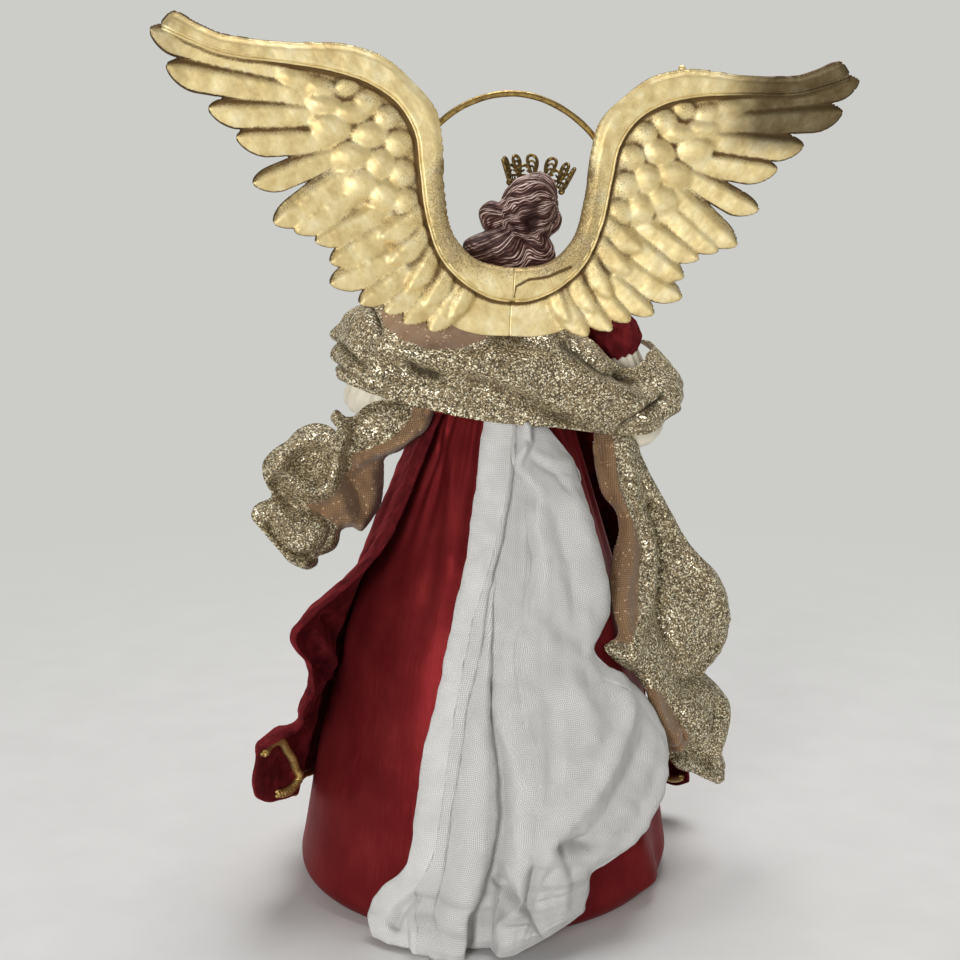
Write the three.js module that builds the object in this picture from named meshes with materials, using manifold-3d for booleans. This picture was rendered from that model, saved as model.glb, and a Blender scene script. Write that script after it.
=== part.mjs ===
// Angel tree topper: a robed figure on a hollow card cone, with moulded wings, a wire halo and cloth drapery.
// Millimetres, +Z up. The figure faces +Y, so its back and the wings are on the -Y side.
// Its own right is +X.
// The origin lies on the table under the middle of the figure.
import * as THREE from "three";
import { mergeVertices } from "three/addons/utils/BufferGeometryUtils.js";
import Module from "manifold-3d";

const wasm = await Module();
wasm.setup();

// Clearances
const GAP = 0.3; // between pieces that seat on each other
const CLOTH_GAP = 1; // between two layers of cloth

// Stance: the foot stands a little to the left of the wings' middle, and the figure leans to its right.
const BASE_X = -8.5;
const LEAN = 0.037; // sideways travel of the axis per millimetre of height

// Foot ring, card cone and the plug in its top
const RING_H = 5;
const RING_IN_HEM = 13; // how far the ring's rim stays inside the hem
const RING_W = 21; // the cone's foot stands in the ring's bore
const CONE_H = 200;
const CONE_TOP_R = 16;
const CONE_WALL = 2;
const PLUG_H = 14; // below the flange, inside the cone
const PLUG_FLANGE_H = 4;
const POST_R = 4;
const POST_SEAT = 12; // depth of the post in the plug
const POST_NECK = 14; // length of the post inside the neck

// Stuffed torso: [share of the height, half width, half depth]
const TORSO_H = 90;
const TORSO_RINGS = [
  [0, 26, 20],
  [0.2, 28, 22],
  [0.36, 29, 22],
  [0.6, 36, 24],
  [0.8, 39, 24],
  [0.92, 33, 21],
  [1, 20, 15],
];
const BODICE_T = 1.6;
const BODICE_FROM_SHARE = 0.42; // of the torso's height
const BODICE_TO_SHARE = 0.94;

// Skirt: radius at the waist and the hem, the bell's swell, and the hem's tuck under the ring
const WAIST_ABOVE_TORSO_FOOT = 36;
const WAIST_R = 33.5;
const WAIST_DEPTH_SHARE = 0.84; // the waist is an ellipse
const HEM_R = 97;
const BELL = 0.13;
const TUCK_H = 12;
const TUCK_IN = 8.5;
const SATIN_T = 2;
const PLEATS = 8;
const PLEAT_DEPTH = 1.6;

// Velvet overskirt: it covers the front, and its two side edges flare out
const VELVET_T = 1.8;
const VELVET_BELOW_WAIST = 2;
const VELVET_LEFT_DEG = -112.5; // angles are taken from the front
const VELVET_RIGHT_DEG = 78.75;
const VELVET_WAVES = 13; // soft flutes, counted round a whole turn
const VELVET_WAVE = 3.4;
const VELVET_WAVE_DRIFT = 1.5; // how unevenly the flutes follow each other
const LEFT_FLARE_FROM_DEG = 88;
const RIGHT_FLARE_FROM_DEG = 50;
const LEFT_DENSE_SHARE = 0.27; // of the angle from the left edge to the front
// Height of the hem by angle
const VELVET_HEM = [
  [-112.5, 80],
  [-110, 74],
  [-107, 66],
  [-104, 58],
  [-101, 54],
  [-97, 52],
  [-85, 50],
  [-70, 46],
  [0, 34],
  [60, 27],
  [70, 20],
  [78.75, 17],
];
// How far each side edge stands off the satin, by height
const LEFT_EDGE_OFF = [
  [80, 42],
  [83, 32],
  [94, 28],
  [106, 24],
  [121, 28],
  [128, 36],
  [133, 39.5],
  [138, 37.5],
  [147, 30],
  [157, 18],
  [180, 9],
  [205, 5],
  [224, 3],
  [240, 1],
];
const RIGHT_EDGE_OFF = [
  [16, 29],
  [24, 26],
  [36, 13],
  [56, 4],
  [80, 2],
  [240, 1],
];
// Braid: it crosses the left corner on the cloth's inner face, as [angle, height], then runs under the hem
const BRAID_R = 1.6;
const BRAID_CORNER = [
  [-109, 82],
  [-104, 80],
  [-101.5, 75],
  [-99.5, 69],
  [-98, 64],
  [-97, 59],
];
const BRAID_UNDER_FROM_DEG = -88;
const BRAID_TO_DEG = 77;

// Linen train down the back of the skirt
const LINEN_T = 1.5;
const LINEN_STANDOFF = 2;
const LINEN_FOLD_DEPTH = 4;
const LINEN_TOP_FOLD_SHARE = 0.1; // of that depth, at the waist
const TRAIN_BELOW_WAIST = 2.6;
const TRAIN_FOOT_Z = 1.2;
// Left edge and right edge: x and share of the train's height, from the waist down
const TRAIN_EDGES = [
  [-13, 1, 9, 1],
  [-17, 0.92, 30, 0.91],
  [-21, 0.83, 35, 0.82],
  [-26, 0.72, 39, 0.7],
  [-33, 0.61, 42, 0.585],
  [-36, 0.545, 34, 0.525],
  [-41, 0.46, 57, 0.415],
  [-46, 0.375, 70, 0.305],
  [-52, 0.27, 61, 0.215],
  [-58, 0.18, 41, 0.155],
  [-68, 0.1, 24, 0.13],
  [-77, 0.04, 22, 0.1],
  [-76, 0, 21, 0.08],
];
// Folds across the train: share of its width and of the fold's depth
const TRAIN_FOLDS = [
  [0, 0.2],
  [0.11, 0.35],
  [0.22, 0.05],
  [0.33, 1],
  [0.44, 0.05],
  [0.56, 0.75],
  [0.67, 0.7],
  [0.78, 0.3],
  [0.89, 0.5],
  [1, 0.2],
];
const TIE_R = 1.2;
const TIE_BELOW_WAIST = 5;

// Arms: shoulder and elbow centres, as offsets from the middle of the torso's top
const LEFT_SHOULDER = [-53, -8, -18];
const RIGHT_SHOULDER = [53, -8, -24];
const LEFT_ELBOW = [-64, 2, -53];
const RIGHT_ELBOW = [68, 2, -68];
const PUFF_R = 14;
const SLEEVE_TOP_R = 11;
const SLEEVE_ELBOW_R = 15;
const ELBOW_BALL_R = 9;
const ELBOW_PLAY = 0.9;
const FOREARM_R = 7;
const WRIST_R = 5;
const FOREARM_L = 44;
const FOREARM_INWARD_DEG = 15;
const FOREARM_UP_DEG = 10;
const ELBOW_DOWN_DEG = -20;
const ELBOW_UP_DEG = 40;
const HAND_L = 27;
const HAND_W = 12;
const HAND_T = 6.5;
// Palm: share of the hand's length, and half width as a share of the hand's width
const PALM = [
  [0, 0.36],
  [0.25, 0.34],
  [0.5, 0.5],
  [0.75, 0.44],
  [0.93, 0.3],
  [1, 0.14],
];
const WIRE_R = 1.2;
const WIRE_DIP = 16; // the shoulder wire dips under the wing socket
const WIRE_BELOW_SHOULDER = 2;
const WIRE_OFF_ELBOW = 3; // from the elbow ball
const WIRE_CHEST_SHARE = 0.45; // how far out the wire leaves the dip

// Head and hair, in a frame at the foot of the neck
const BUST_R = 19;
const BUST_H = 9;
const BUST_DEPTH_SHARE = 0.75;
const NECK_R = 7;
const NECK_H = 21.5;
const HEAD_W = 26.4;
const HEAD_D = 32;
const HEAD_TALL = 35;
const HEAD_FORWARD = 2;
const HEAD_TILT_DEG = 20;
const HEAD_TURN_DEG = -8;
const HAIR_T = 2.5;
const HAIR_BACK = 3; // the hair's middle lies this far behind the head's
const FACE_BACK = 6; // how far the bare face reaches back, in front of the frame
// Curl at the left side, and the hair that falls left, behind and right: centre and radii
const HAIR_MASSES = [
  [[-16.7, -4, 25.7], [5.5, 6.5, 8]],
  [[-16, -8, 8.5], [10, 9, 8]],
  [[-2.2, -9, 11.5], [13, 10, 8.5]],
  [[8.4, -8, 16.8], [10, 9.5, 10]],
];
// Coronet, set on the hair to the figure's right: offset from the torso's top, and half width and half depth
const CORONET_AT = [15.9, -0.5, 48.9];
const CORONET_TILT_DEG = 6;
const CORONET_R = [13.2, 14.8];
const CORONET_FLARE = 0.42; // outward travel per millimetre of height
const CORONET_FRONT_RISE = 2;
const CORONET_BAND_H = 3;
const CORONET_BAND_T = 1.2;
const CORONET_ARC_DEG = 224;
const CORONET_LOOPS = 8;
const CORONET_LOOP_R = 3.2;
const CORONET_WIRE_R = 0.8;

// Wings: in the wing's own plane, X runs outward from the seam and Z up
const WING_X = -3.5;
const WING_FRONT_Y = -38;
const WING_BELOW_TORSO_TOP = 6; // height of the wing frame's origin below the torso's top
const WING_ROLL_DEG = 2.8;
const WING_T = 5;
const WING_BAND_T = 8;
const WING_SWEEP = 9; // how far back the tips reach
const WING_HALF_SPAN = 162;
const WING_STRETCH = 0.02; // the left wing is this share longer than the pattern, the right one shorter
const FEATHER_T = 3.6;
const FEATHER_SINK = [0.6, 1.1]; // depth of alternate feathers behind the wing's front face
const LEADING_EDGE = [
  [0, 17.5],
  [18, 21],
  [28, 31],
  [33, 50],
  [35, 72],
  [38, 85],
  [50, 98],
  [62, 107],
  [76, 111],
  [105, 110],
  [124, 111],
  [141, 116],
  [159, 120],
];
// The bead that parts the smooth band from the feathered panel
const BEAD = [
  [0, 3],
  [20, 9],
  [33, 21],
  [40, 38],
  [44, 60],
  [47, 76],
  [55, 88],
  [68, 96],
  [83, 100],
  [102, 101],
  [126, 104],
  [155, 116],
];
const PANEL_FOOT = [
  [155, 116],
  [134, 99],
  [112, 91],
  [98, 80],
  [88, 66],
  [78, 48],
  [66, 26],
  [52, 9],
  [42, 0],
  [31, -8],
  [22, -12],
  [0, -14],
];
// Flight feathers from the wing tip round to the seam: root x, root z, tip x, tip z, width
const FEATHERS = [
  [103, 99, 163, 113.5, 13.5],
  [92, 88, 155, 95, 14],
  [88, 81, 137, 78.5, 13.5],
  [82, 71, 125, 67, 14],
  [78, 66, 117, 48, 12.5],
  [75, 57, 107, 31, 15],
  [72, 49, 98, 28, 13],
  [62, 41, 89, 24, 12.5],
  [57, 33, 82, 15, 14],
  [52, 22, 82, 5.5, 14],
  [48, 15, 68.5, -2.5, 12],
  [43, 9, 57, -6, 11.5],
  [32, 9, 48, -10.5, 12.5],
  [23, 9, 36, -13.5, 14],
];
const TONGUE_W = 18;
const TONGUE_H = 6;
const TONGUE_END_CLEAR = 1; // between the tongue's end and the socket's far side
const TONGUE_DROP = 8;
const SOCKET_WALL = 2.5;
const SOCKET_DEPTH = 12;
const SOCKET_BACK_Y = -20; // the socket's mouth, at the back of the torso

// Halo: a wire hoop bonded to the wings' front faces by two pads
const HALO_R = 49;
const HALO_WIRE_R = 1.5;
const HALO_X = -1;
const HALO_ABOVE_FRAME = 47;
const HALO_PAD = [7, 6];

// Stole of glitter cloth: the wrap across the back and a tail at each elbow
const STOLE_T = 1.8;
const WRAP_HALF_W = 82;
const WRAP_X = 5.5;
const WRAP_BACK_Y = -40;
const WRAP_SIDE_Y = 4;
const WRAP_REACH_DEG = 100; // how far the wrap goes round each side, from straight back
const WRAP_BULGE = 5;
const WRAP_TOP_TUCK = 13;
const WRAP_FOLD = 1.8;
const WRAP_LOWER = [-40, -46, -56, -62, -67, -60, -50]; // edge heights from the torso's top, left to right
const WRAP_UPPER = [0, 2, -6, -13, -23, -18, -14];

// Tails: two edges each, as [x, z] offsets from the elbow, from the arm to the free end
const TAIL_RIM = 5.5; // width and depth of the rim that curls toward the front
const LEFT_TAIL_Y = -17.5;
const LEFT_PANEL_STEP = 12; // the plain panel beside the skirt lies this far in front of the ruffles
const LEFT_PANEL_ACROSS = [-28, 2]; // where that step is taken, in x and in z from the elbow
const LEFT_PANEL_DOWN = [-30, -14];
const LEFT_TAIL_TOP = [
  [18, 1],
  [12, 2],
  [1, 1],
  [-7, -3],
  [-13, -8],
  [-20, -7],
  [-22, -12],
  [-29, -11],
  [-38, -12],
  [-43, -17],
  [-50, -22],
  [-55, -27],
  [-55, -34],
  [-52, -43],
  [-57, -47],
  [-61, -52],
];
const LEFT_TAIL_FOOT = [
  [18, -6],
  [18, -15],
  [11, -28],
  [6, -32],
  [2, -49],
  [-6, -64],
  [-14, -61],
  [-20, -72],
  [-29, -75],
  [-30, -79],
  [-34, -81],
  [-42, -76],
  [-47, -71],
  [-51, -66],
  [-58, -57],
  [-61, -54.5],
];
const RIGHT_TAIL_Y = -14; // the nearest it comes to the front
const RIGHT_TAIL_BLEND = 4;
const RIGHT_TAIL_STANDOFF = 4;
const RIGHT_TAIL_TURN = 0.72; // share of the skirt's half width where the tail leaves the skirt
const RIGHT_TAIL_SLOPE = 0.8;
const RIGHT_TAIL_INNER = [
  [-22, -3],
  [-23, -23],
  [-16, -44],
  [-23, -63],
  [-28, -78],
  [-27, -90],
  [-32, -97],
  [-26, -105],
  [-14, -116],
  [-11, -125],
  [-5, -140],
  [0, -150],
  [7, -162],
  [38, -184],
];
const RIGHT_TAIL_OUTER = [
  [-4, -3],
  [8, -29],
  [21, -50],
  [28, -60],
  [41, -76],
  [49, -91],
  [51, -104],
  [48, -119],
  [38, -132],
  [46, -138],
  [51, -149],
  [51, -157],
  [44, -172],
  [46, -185],
];
// Swells of the tails: centre x and z from the elbow, half width, half height, height
const LEFT_TAIL_DOMES = [
  [-37, -60.5, 9.5, 9, 10],
  [1, -12, 13, 11, 3],
];
const RIGHT_TAIL_DOMES = [
  [32, -96, 15, 26, 8],
  [-12, -104, 17, 9, 6],
  [44, -145, 7, 9, 6],
  [27, -143, 14, 12, 5],
];
// Rolled folds and hollows of the tails: half width, height, and a line of [x, z] points from the elbow
const LEFT_TAIL_ROLLS = [
  [5, 8, [[-55, -39], [-56, -32], [-48, -22], [-35, -15], [-23, -18]]],
  [5, 9, [[-49, -28], [-36.5, -39], [-30, -40.5], [-22, -30], [-19, -14]]],
  [5, -4, [[-38, -26], [-28, -22]]],
  [3.5, -5, [[-50, -36], [-45.5, -43.5], [-42, -50]]],
  [3.5, 5, [[-55, -33], [-54, -40], [-47, -51], [-41, -54]]],
  [3, 6, [[-61, -53], [-57, -59], [-45, -72.5], [-38, -76]]],
  [4.2, 6.5, [[11.5, -6], [14, -14], [10.5, -20], [-6, -30], [-13, -31]]],
  [4, 4, [[-20.7, -40.3], [-18.4, -48.8], [-10.3, -61.8]]],
];
const RIGHT_TAIL_ROLLS = [
  [5.5, 6, [[0, -17], [3, -41], [6, -66], [-7, -90]]],
  [5, 3, [[-8, -5], [-1, -35]]],
  [6, 4, [[6, -31], [24, -59], [37, -75]]],
  [7, 4, [[-2, -115], [27, -143], [44, -159]]],
  [5, 4, [[9, -160], [41, -180]]],
  [4.5, 4, [[-16, -3], [-18, -33], [-10, -51], [-17, -70], [-22, -84]]],
  [4.5, 5, [[-8, -124], [-3, -137], [5, -149]]],
];

// Derived sizes
const TORSO_FOOT_Z = CONE_H + PLUG_FLANGE_H + 2 * GAP;
const TORSO_TOP_Z = TORSO_FOOT_Z + TORSO_H;
const SKIRT_TOP_Z = TORSO_FOOT_Z + WAIST_ABOVE_TORSO_FOOT;
const TRAIN_TOP_Z = SKIRT_TOP_Z - TRAIN_BELOW_WAIST;
const RING_R = HEM_R - RING_IN_HEM;
const RING_BORE_R = RING_R - RING_W;
const CONE_FOOT_R = RING_BORE_R - 3 * GAP;
const TONGUE_REACH = SOCKET_BACK_Y - WING_FRONT_Y + SOCKET_DEPTH - TONGUE_END_CLEAR;

// Mesh resolution
const AROUND = 32;
const LIMB_SIDES = 10;
const VELVET_GRID = [14, 28];
const VELVET_LEFT_COLUMNS = 0.4; // shares of the columns in the two flares
const VELVET_RIGHT_COLUMNS = 0.15;
const TRAIN_GRID = [13, 19];
const WRAP_GRID = [33, 9];
const LEFT_TAIL_GRID = [29, 11];
const RIGHT_TAIL_GRID = [30, 10];

// Small helpers
const { degToRad: rad, clamp, lerp, smoothstep } = THREE.MathUtils;
const v3 = (x, y, z) => new THREE.Vector3(x, y, z);
const range = (n) => Array.from({ length: n }, (_, i) => i);
const share = (i, count) => i / (count - 1);
const axisX = (z) => BASE_X + LEAN * z;
const torsoTop = v3(axisX(TORSO_TOP_Z), 0, TORSO_TOP_Z);
const fromTorsoTop = (offset) => torsoTop.clone().add(v3(...offset));

// A smooth function through [x, y] pairs, level beyond its ends.
function through(pairs, x) {
  const last = pairs.length - 1;
  if (x <= pairs[0][0]) return pairs[0][1];
  if (x >= pairs[last][0]) return pairs[last][1];
  const k = pairs.findIndex(([at]) => at > x) - 1;
  const chord = (i) => (pairs[i + 1][1] - pairs[i][1]) / (pairs[i + 1][0] - pairs[i][0]);
  const slope = (i) => (chord(Math.max(i - 1, 0)) + chord(Math.min(i, last - 1))) / 2;
  const h = pairs[k + 1][0] - pairs[k][0];
  const s = (x - pairs[k][0]) / h;
  const start = (1 + 2 * s) * (1 - s) ** 2 * pairs[k][1] + s * (1 - s) ** 2 * h * slope(k);
  const end = s * s * (3 - 2 * s) * pairs[k + 1][1] + s * s * (s - 1) * h * slope(k + 1);
  return start + end;
}

// Distance of a plane point from a line of points.
function lineGap(x, z, line) {
  let best = Infinity;
  for (let k = 1; k < line.length; k++) {
    const [[ax, az], [bx, bz]] = [line[k - 1], line[k]];
    const reach = (bx - ax) ** 2 + (bz - az) ** 2;
    const t = clamp(((x - ax) * (bx - ax) + (z - az) * (bz - az)) / reach, 0, 1);
    best = Math.min(best, Math.hypot(x - lerp(ax, bx, t), z - lerp(az, bz, t)));
  }
  return best;
}

// A closed mesh from points and triangles, with its faces turned outward.
function closedMesh(points, triangles) {
  let volume = 0;
  for (const [a, b, c] of triangles) volume += points[a].dot(points[b].clone().cross(points[c]));
  const facing = volume < 0 ? triangles.map(([a, b, c]) => [a, c, b]) : triangles;
  const geometry = new THREE.BufferGeometry().setFromPoints(points);
  return geometry.setIndex(facing.flat());
}

// A solid through rings of equally many points. A loop joins the last ring to the first;
// otherwise both ends are capped.
function loft(rings, loop = false) {
  const n = rings[0].length;
  const points = rings.flat();
  const triangles = [];
  const spans = loop ? rings.length : rings.length - 1;
  for (let i = 0; i < spans; i++) {
    const low = i * n;
    const high = ((i + 1) % rings.length) * n;
    for (let j = 0; j < n; j++) {
      const k = (j + 1) % n;
      triangles.push([low + j, low + k, high + k], [low + j, high + k, high + j]);
    }
  }
  if (!loop) {
    [0, rings.length - 1].forEach((i) => {
      const centre = rings[i].reduce((sum, p) => sum.add(p), v3(0, 0, 0)).divideScalar(n);
      const tip = points.push(centre) - 1;
      for (let j = 0; j < n; j++) {
        const edge = [i * n + j, i * n + ((j + 1) % n)];
        triangles.push(i ? [...edge, tip] : [...edge.reverse(), tip]);
      }
    });
  }
  return closedMesh(points, triangles);
}

// A sheet of cloth: a grid of points on its middle surface, given a thickness.
function sheet(grid, thickness) {
  const rows = grid.length;
  const columns = grid[0].length;
  const at = (i, j) => grid[Math.min(Math.max(i, 0), rows - 1)][Math.min(Math.max(j, 0), columns - 1)];
  const faces = [1, -1].map((side) =>
    range(rows * columns).map((k) => {
      const [i, j] = [Math.floor(k / columns), k % columns];
      const along = at(i + 1, j).clone().sub(at(i - 1, j));
      const across = at(i, j + 1).clone().sub(at(i, j - 1));
      const normal = along.cross(across).normalize();
      return at(i, j).clone().addScaledVector(normal, (side * thickness) / 2);
    }),
  );
  const back = rows * columns;
  const triangles = [];
  const quad = (a, b, c, d) => triangles.push([a, b, c], [a, c, d]);
  for (let i = 0; i < rows - 1; i++)
    for (let j = 0; j < columns - 1; j++) {
      const [a, b] = [i * columns + j, (i + 1) * columns + j];
      const [c, d] = [b + 1, a + 1];
      quad(a, b, c, d);
      quad(back + d, back + c, back + b, back + a);
    }
  const rim = [
    ...range(columns - 1).map((j) => j),
    ...range(rows - 1).map((i) => i * columns + columns - 1),
    ...range(columns - 1).map((j) => (rows - 1) * columns + columns - 1 - j),
    ...range(rows - 1).map((i) => (rows - 1 - i) * columns),
  ];
  rim.forEach((a, k) => {
    const b = rim[(k + 1) % rim.length];
    quad(a, b, back + b, back + a);
  });
  return closedMesh(faces.flat(), triangles);
}

// A round bar along a straight line, with a radius for each share of its length.
function limb(from, to, profile, sides = LIMB_SIDES) {
  const axis = to.clone().sub(from);
  const turn = new THREE.Quaternion().setFromUnitVectors(v3(0, 0, 1), axis.clone().normalize());
  const rings = profile.map(([rise, radius]) =>
    range(sides).map((j) => {
      const a = (2 * Math.PI * j) / sides;
      const offset = v3(Math.cos(a) * radius, Math.sin(a) * radius, 0).applyQuaternion(turn);
      return from.clone().addScaledVector(axis, rise).add(offset);
    }),
  );
  return loft(rings);
}

const bar = (from, to, radius, sides) => limb(from, to, [[0, radius], [1, radius]], sides);

// A round wire along a path of points.
function wire(points, radius, steps, sides = 6) {
  const outline = new THREE.Shape(
    range(sides).map((j) => {
      const a = (2 * Math.PI * j) / sides;
      return new THREE.Vector2(Math.cos(a) * radius, Math.sin(a) * radius);
    }),
  );
  const path = new THREE.CatmullRomCurve3(points, false, "centripetal");
  return new THREE.ExtrudeGeometry(outline, { steps, extrudePath: path, bevelEnabled: false });
}

function ellipsoid(centre, radii, grow = 0, across = 12, down = 8) {
  const ball = new THREE.SphereGeometry(1, across, down);
  ball.rotateX(Math.PI / 2);
  ball.scale(radii[0] + grow, radii[1] + grow, radii[2] + grow);
  return ball.translate(centre.x, centre.y, centre.z);
}

const box = (size, centre) => new THREE.BoxGeometry(...size).translate(...centre);
const placed = (geometry, matrix) => geometry.clone().applyMatrix4(matrix);

// Solids for cutting and joining
function solid(geometry) {
  const bare = geometry.clone();
  bare.deleteAttribute("normal");
  bare.deleteAttribute("uv");
  const merged = mergeVertices(bare, 1e-4);
  const mesh = { numProp: 3, vertProperties: merged.attributes.position.array };
  return new wasm.Manifold(new wasm.Mesh({ ...mesh, triVerts: new Uint32Array(merged.index.array) }));
}

function geometryOf(manifold) {
  const mesh = manifold.getMesh();
  const geometry = new THREE.BufferGeometry();
  geometry.setAttribute("position", new THREE.BufferAttribute(new Float32Array(mesh.vertProperties), 3));
  return geometry.setIndex(new THREE.BufferAttribute(new Uint32Array(mesh.triVerts), 1));
}

// Slivers that a cut leaves loose are dropped: the piece is its largest body.
function mainBody(manifold) {
  const bodies = manifold.decompose();
  return bodies.reduce((best, body) => (body.volume() > best.volume() ? body : best));
}

const cut = (geometry, ...tools) =>
  geometryOf(mainBody(tools.reduce((left, tool) => left.subtract(solid(tool)), solid(geometry))));
const join = (...geometries) => geometryOf(geometries.map(solid).reduce((sum, next) => sum.add(next)));

// Materials: colour, roughness, metalness
const finish = (color, roughness, metalness = 0) =>
  new THREE.MeshStandardMaterial({ color, roughness, metalness });
const GILT = finish(0xc9a24a, 0.42, 0.75);
const BRASS = finish(0x9a7b35, 0.35, 0.9);
const CARD = finish(0xb79a74, 0.9);
const WOOD = finish(0xc8a878, 0.7);
const STEEL = finish(0x8a8a8c, 0.4, 0.9);
const BATTING = finish(0xefeae0, 1);
const CREAM = finish(0xe9e0cd, 0.6);
const SATIN = finish(0x5e1417, 0.42);
const VELVET = finish(0x5a0d18, 0.95);
const LINEN = finish(0xe6e3dc, 0.9);
const GLITTER = finish(0xa08a55, 0.5, 0.4);
const SKIN = finish(0xe3b795, 0.55);
const HAIR = finish(0x3f1f1c, 0.6);

const root = new THREE.Group();
function add(name, geometry, material, parent = root) {
  const mesh = new THREE.Mesh(geometry, material);
  mesh.name = name;
  parent.add(mesh);
  return mesh;
}

// Foot ring, cone, plug and post
const coneRadius = (z) => lerp(CONE_FOOT_R, CONE_TOP_R, z / CONE_H);
const circle = (z, radius) =>
  range(AROUND).map((j) => {
    const a = (2 * Math.PI * j) / AROUND;
    return v3(axisX(z) + Math.sin(a) * radius, Math.cos(a) * radius, z);
  });
const hollow = (zs, outer, inner) =>
  loft([...zs.map((z) => circle(z, outer(z))), ...[...zs].reverse().map((z) => circle(z, inner(z)))], true);

add("foot_ring", hollow([0, RING_H], () => RING_R, () => RING_BORE_R), CARD);
const coneInside = (z) => coneRadius(z) - CONE_WALL;
add("tree_cone", hollow([0, CONE_H / 2, CONE_H], coneRadius, coneInside), CARD);

const post = [v3(axisX(CONE_H + PLUG_FLANGE_H - POST_SEAT), 0, CONE_H + PLUG_FLANGE_H - POST_SEAT)];
post.push(v3(axisX(TORSO_TOP_Z + POST_NECK), 0, TORSO_TOP_Z + POST_NECK));
const postEnds = [post[0].clone().addScaledVector(v3(LEAN, 0, 1), -GAP), post[1].clone().add(v3(0, 0, GAP))];
const postBore = bar(...postEnds, POST_R + GAP);
const plugFoot = CONE_H - PLUG_H;
const plugTop = CONE_H + GAP + PLUG_FLANGE_H;
const plug = loft([
  circle(plugFoot, coneInside(plugFoot) - 4 * GAP),
  circle(CONE_H - GAP, coneInside(CONE_H) - GAP),
  circle(CONE_H + GAP, coneInside(CONE_H) - GAP),
  circle(CONE_H + GAP, CONE_TOP_R),
  circle(plugTop, CONE_TOP_R),
]);
add("cone_plug", cut(plug, postBore), WOOD);
add("spine_post", bar(...post, POST_R), WOOD);

// Skirt surface: a point at a height and an angle from the front, set off from the satin's outer face
const skirtShare = (z) => z / SKIRT_TOP_Z;
function skirtRadius(z) {
  const u = skirtShare(z);
  const tuck = z < TUCK_H ? TUCK_IN * (1 - z / TUCK_H) ** 2 : 0;
  return WAIST_R + (HEM_R - WAIST_R) * (1 - u + BELL * Math.sin(Math.PI * u)) - tuck;
}
const skirtDepth = (z) => lerp(1, WAIST_DEPTH_SHARE, smoothstep(skirtShare(z), 0.5, 1));
function skirtPoint(z, angle, offset) {
  const u = skirtShare(z);
  const pleat = PLEAT_DEPTH * Math.sin(Math.PI * u) * u * Math.cos(PLEATS * angle);
  const radius = skirtRadius(z) + pleat + offset;
  return v3(axisX(z) + Math.sin(angle) * radius, Math.cos(angle) * radius * skirtDepth(z), z);
}
// The depth of a cloth laid on the back of the skirt; beyond the skirt's side it hangs free.
function behindSkirt(x, z, offset) {
  const reach = skirtRadius(z) + PLEAT_DEPTH + offset;
  const across = clamp((x - axisX(z)) / reach, -1, 1);
  return -Math.sqrt(1 - across ** 2) * reach * skirtDepth(z);
}
const skirtRing = (z, offset) => range(AROUND).map((j) => skirtPoint(z, (2 * Math.PI * j) / AROUND, offset));
const skirtHeights = [0, 0.025, 0.06, 0.2, 0.36, 0.52, 0.68, 0.84, 1].map((u) => u * SKIRT_TOP_Z);
const skirtOuter = skirtHeights.map((z) => skirtRing(z, 0));
const skirtInner = [...skirtHeights].reverse().map((z) => skirtRing(z, -SATIN_T));
add("satin_skirt", loft([...skirtOuter, ...skirtInner], true), SATIN);

// Batting between the cone and the satin, standing on the foot ring
const fillHeights = skirtHeights.filter((z) => z > RING_H + GAP && z < CONE_H - PLUG_H);
fillHeights[0] = Math.max(fillHeights[0], RING_H + GAP);
const fillOuter = fillHeights.map((z) => skirtRing(z, -SATIN_T - GAP));
const fillInner = [...fillHeights].reverse().map((z) => circle(z, coneRadius(z) + GAP));
add("skirt_batting", loft([...fillOuter, ...fillInner], true), BATTING);

// Velvet overskirt with its flared side edges
const velvetTop = SKIRT_TOP_Z - VELVET_BELOW_WAIST;
const [velvetRows, velvetColumns] = VELVET_GRID;
const velvetColumnAt = [
  [0, VELVET_LEFT_DEG],
  [VELVET_LEFT_COLUMNS, lerp(VELVET_LEFT_DEG, 0, LEFT_DENSE_SHARE)],
  [1 - VELVET_RIGHT_COLUMNS, RIGHT_FLARE_FROM_DEG],
  [1, VELVET_RIGHT_DEG],
];
const velvetAngles = range(velvetColumns).map((j) => through(velvetColumnAt, share(j, velvetColumns)));
const velvetHem = (degrees) => through(VELVET_HEM, degrees);
function velvetPoint(rise, degrees) {
  const z = lerp(velvetHem(degrees), velvetTop, rise);
  const a = rad(degrees);
  const left = smoothstep(-degrees, LEFT_FLARE_FROM_DEG, -VELVET_LEFT_DEG);
  const right = smoothstep(degrees, RIGHT_FLARE_FROM_DEG, VELVET_RIGHT_DEG);
  const flare = left * through(LEFT_EDGE_OFF, z) + right * through(RIGHT_EDGE_OFF, z);
  const flute = 1 + Math.cos(VELVET_WAVES * a + VELVET_WAVE_DRIFT * Math.sin(2 * a));
  const wave = VELVET_WAVE * (1 - rise) * flute * (1 - left) * (1 - right);
  return skirtPoint(z, a, CLOTH_GAP + VELVET_T / 2 + wave + flare);
}
const velvetRow = (i) => velvetAngles.map((degrees) => velvetPoint(share(i, velvetRows), degrees));
const velvetGrid = range(velvetRows).map(velvetRow);
add("velvet_overskirt", sheet(velvetGrid, VELVET_T), VELVET);

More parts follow.
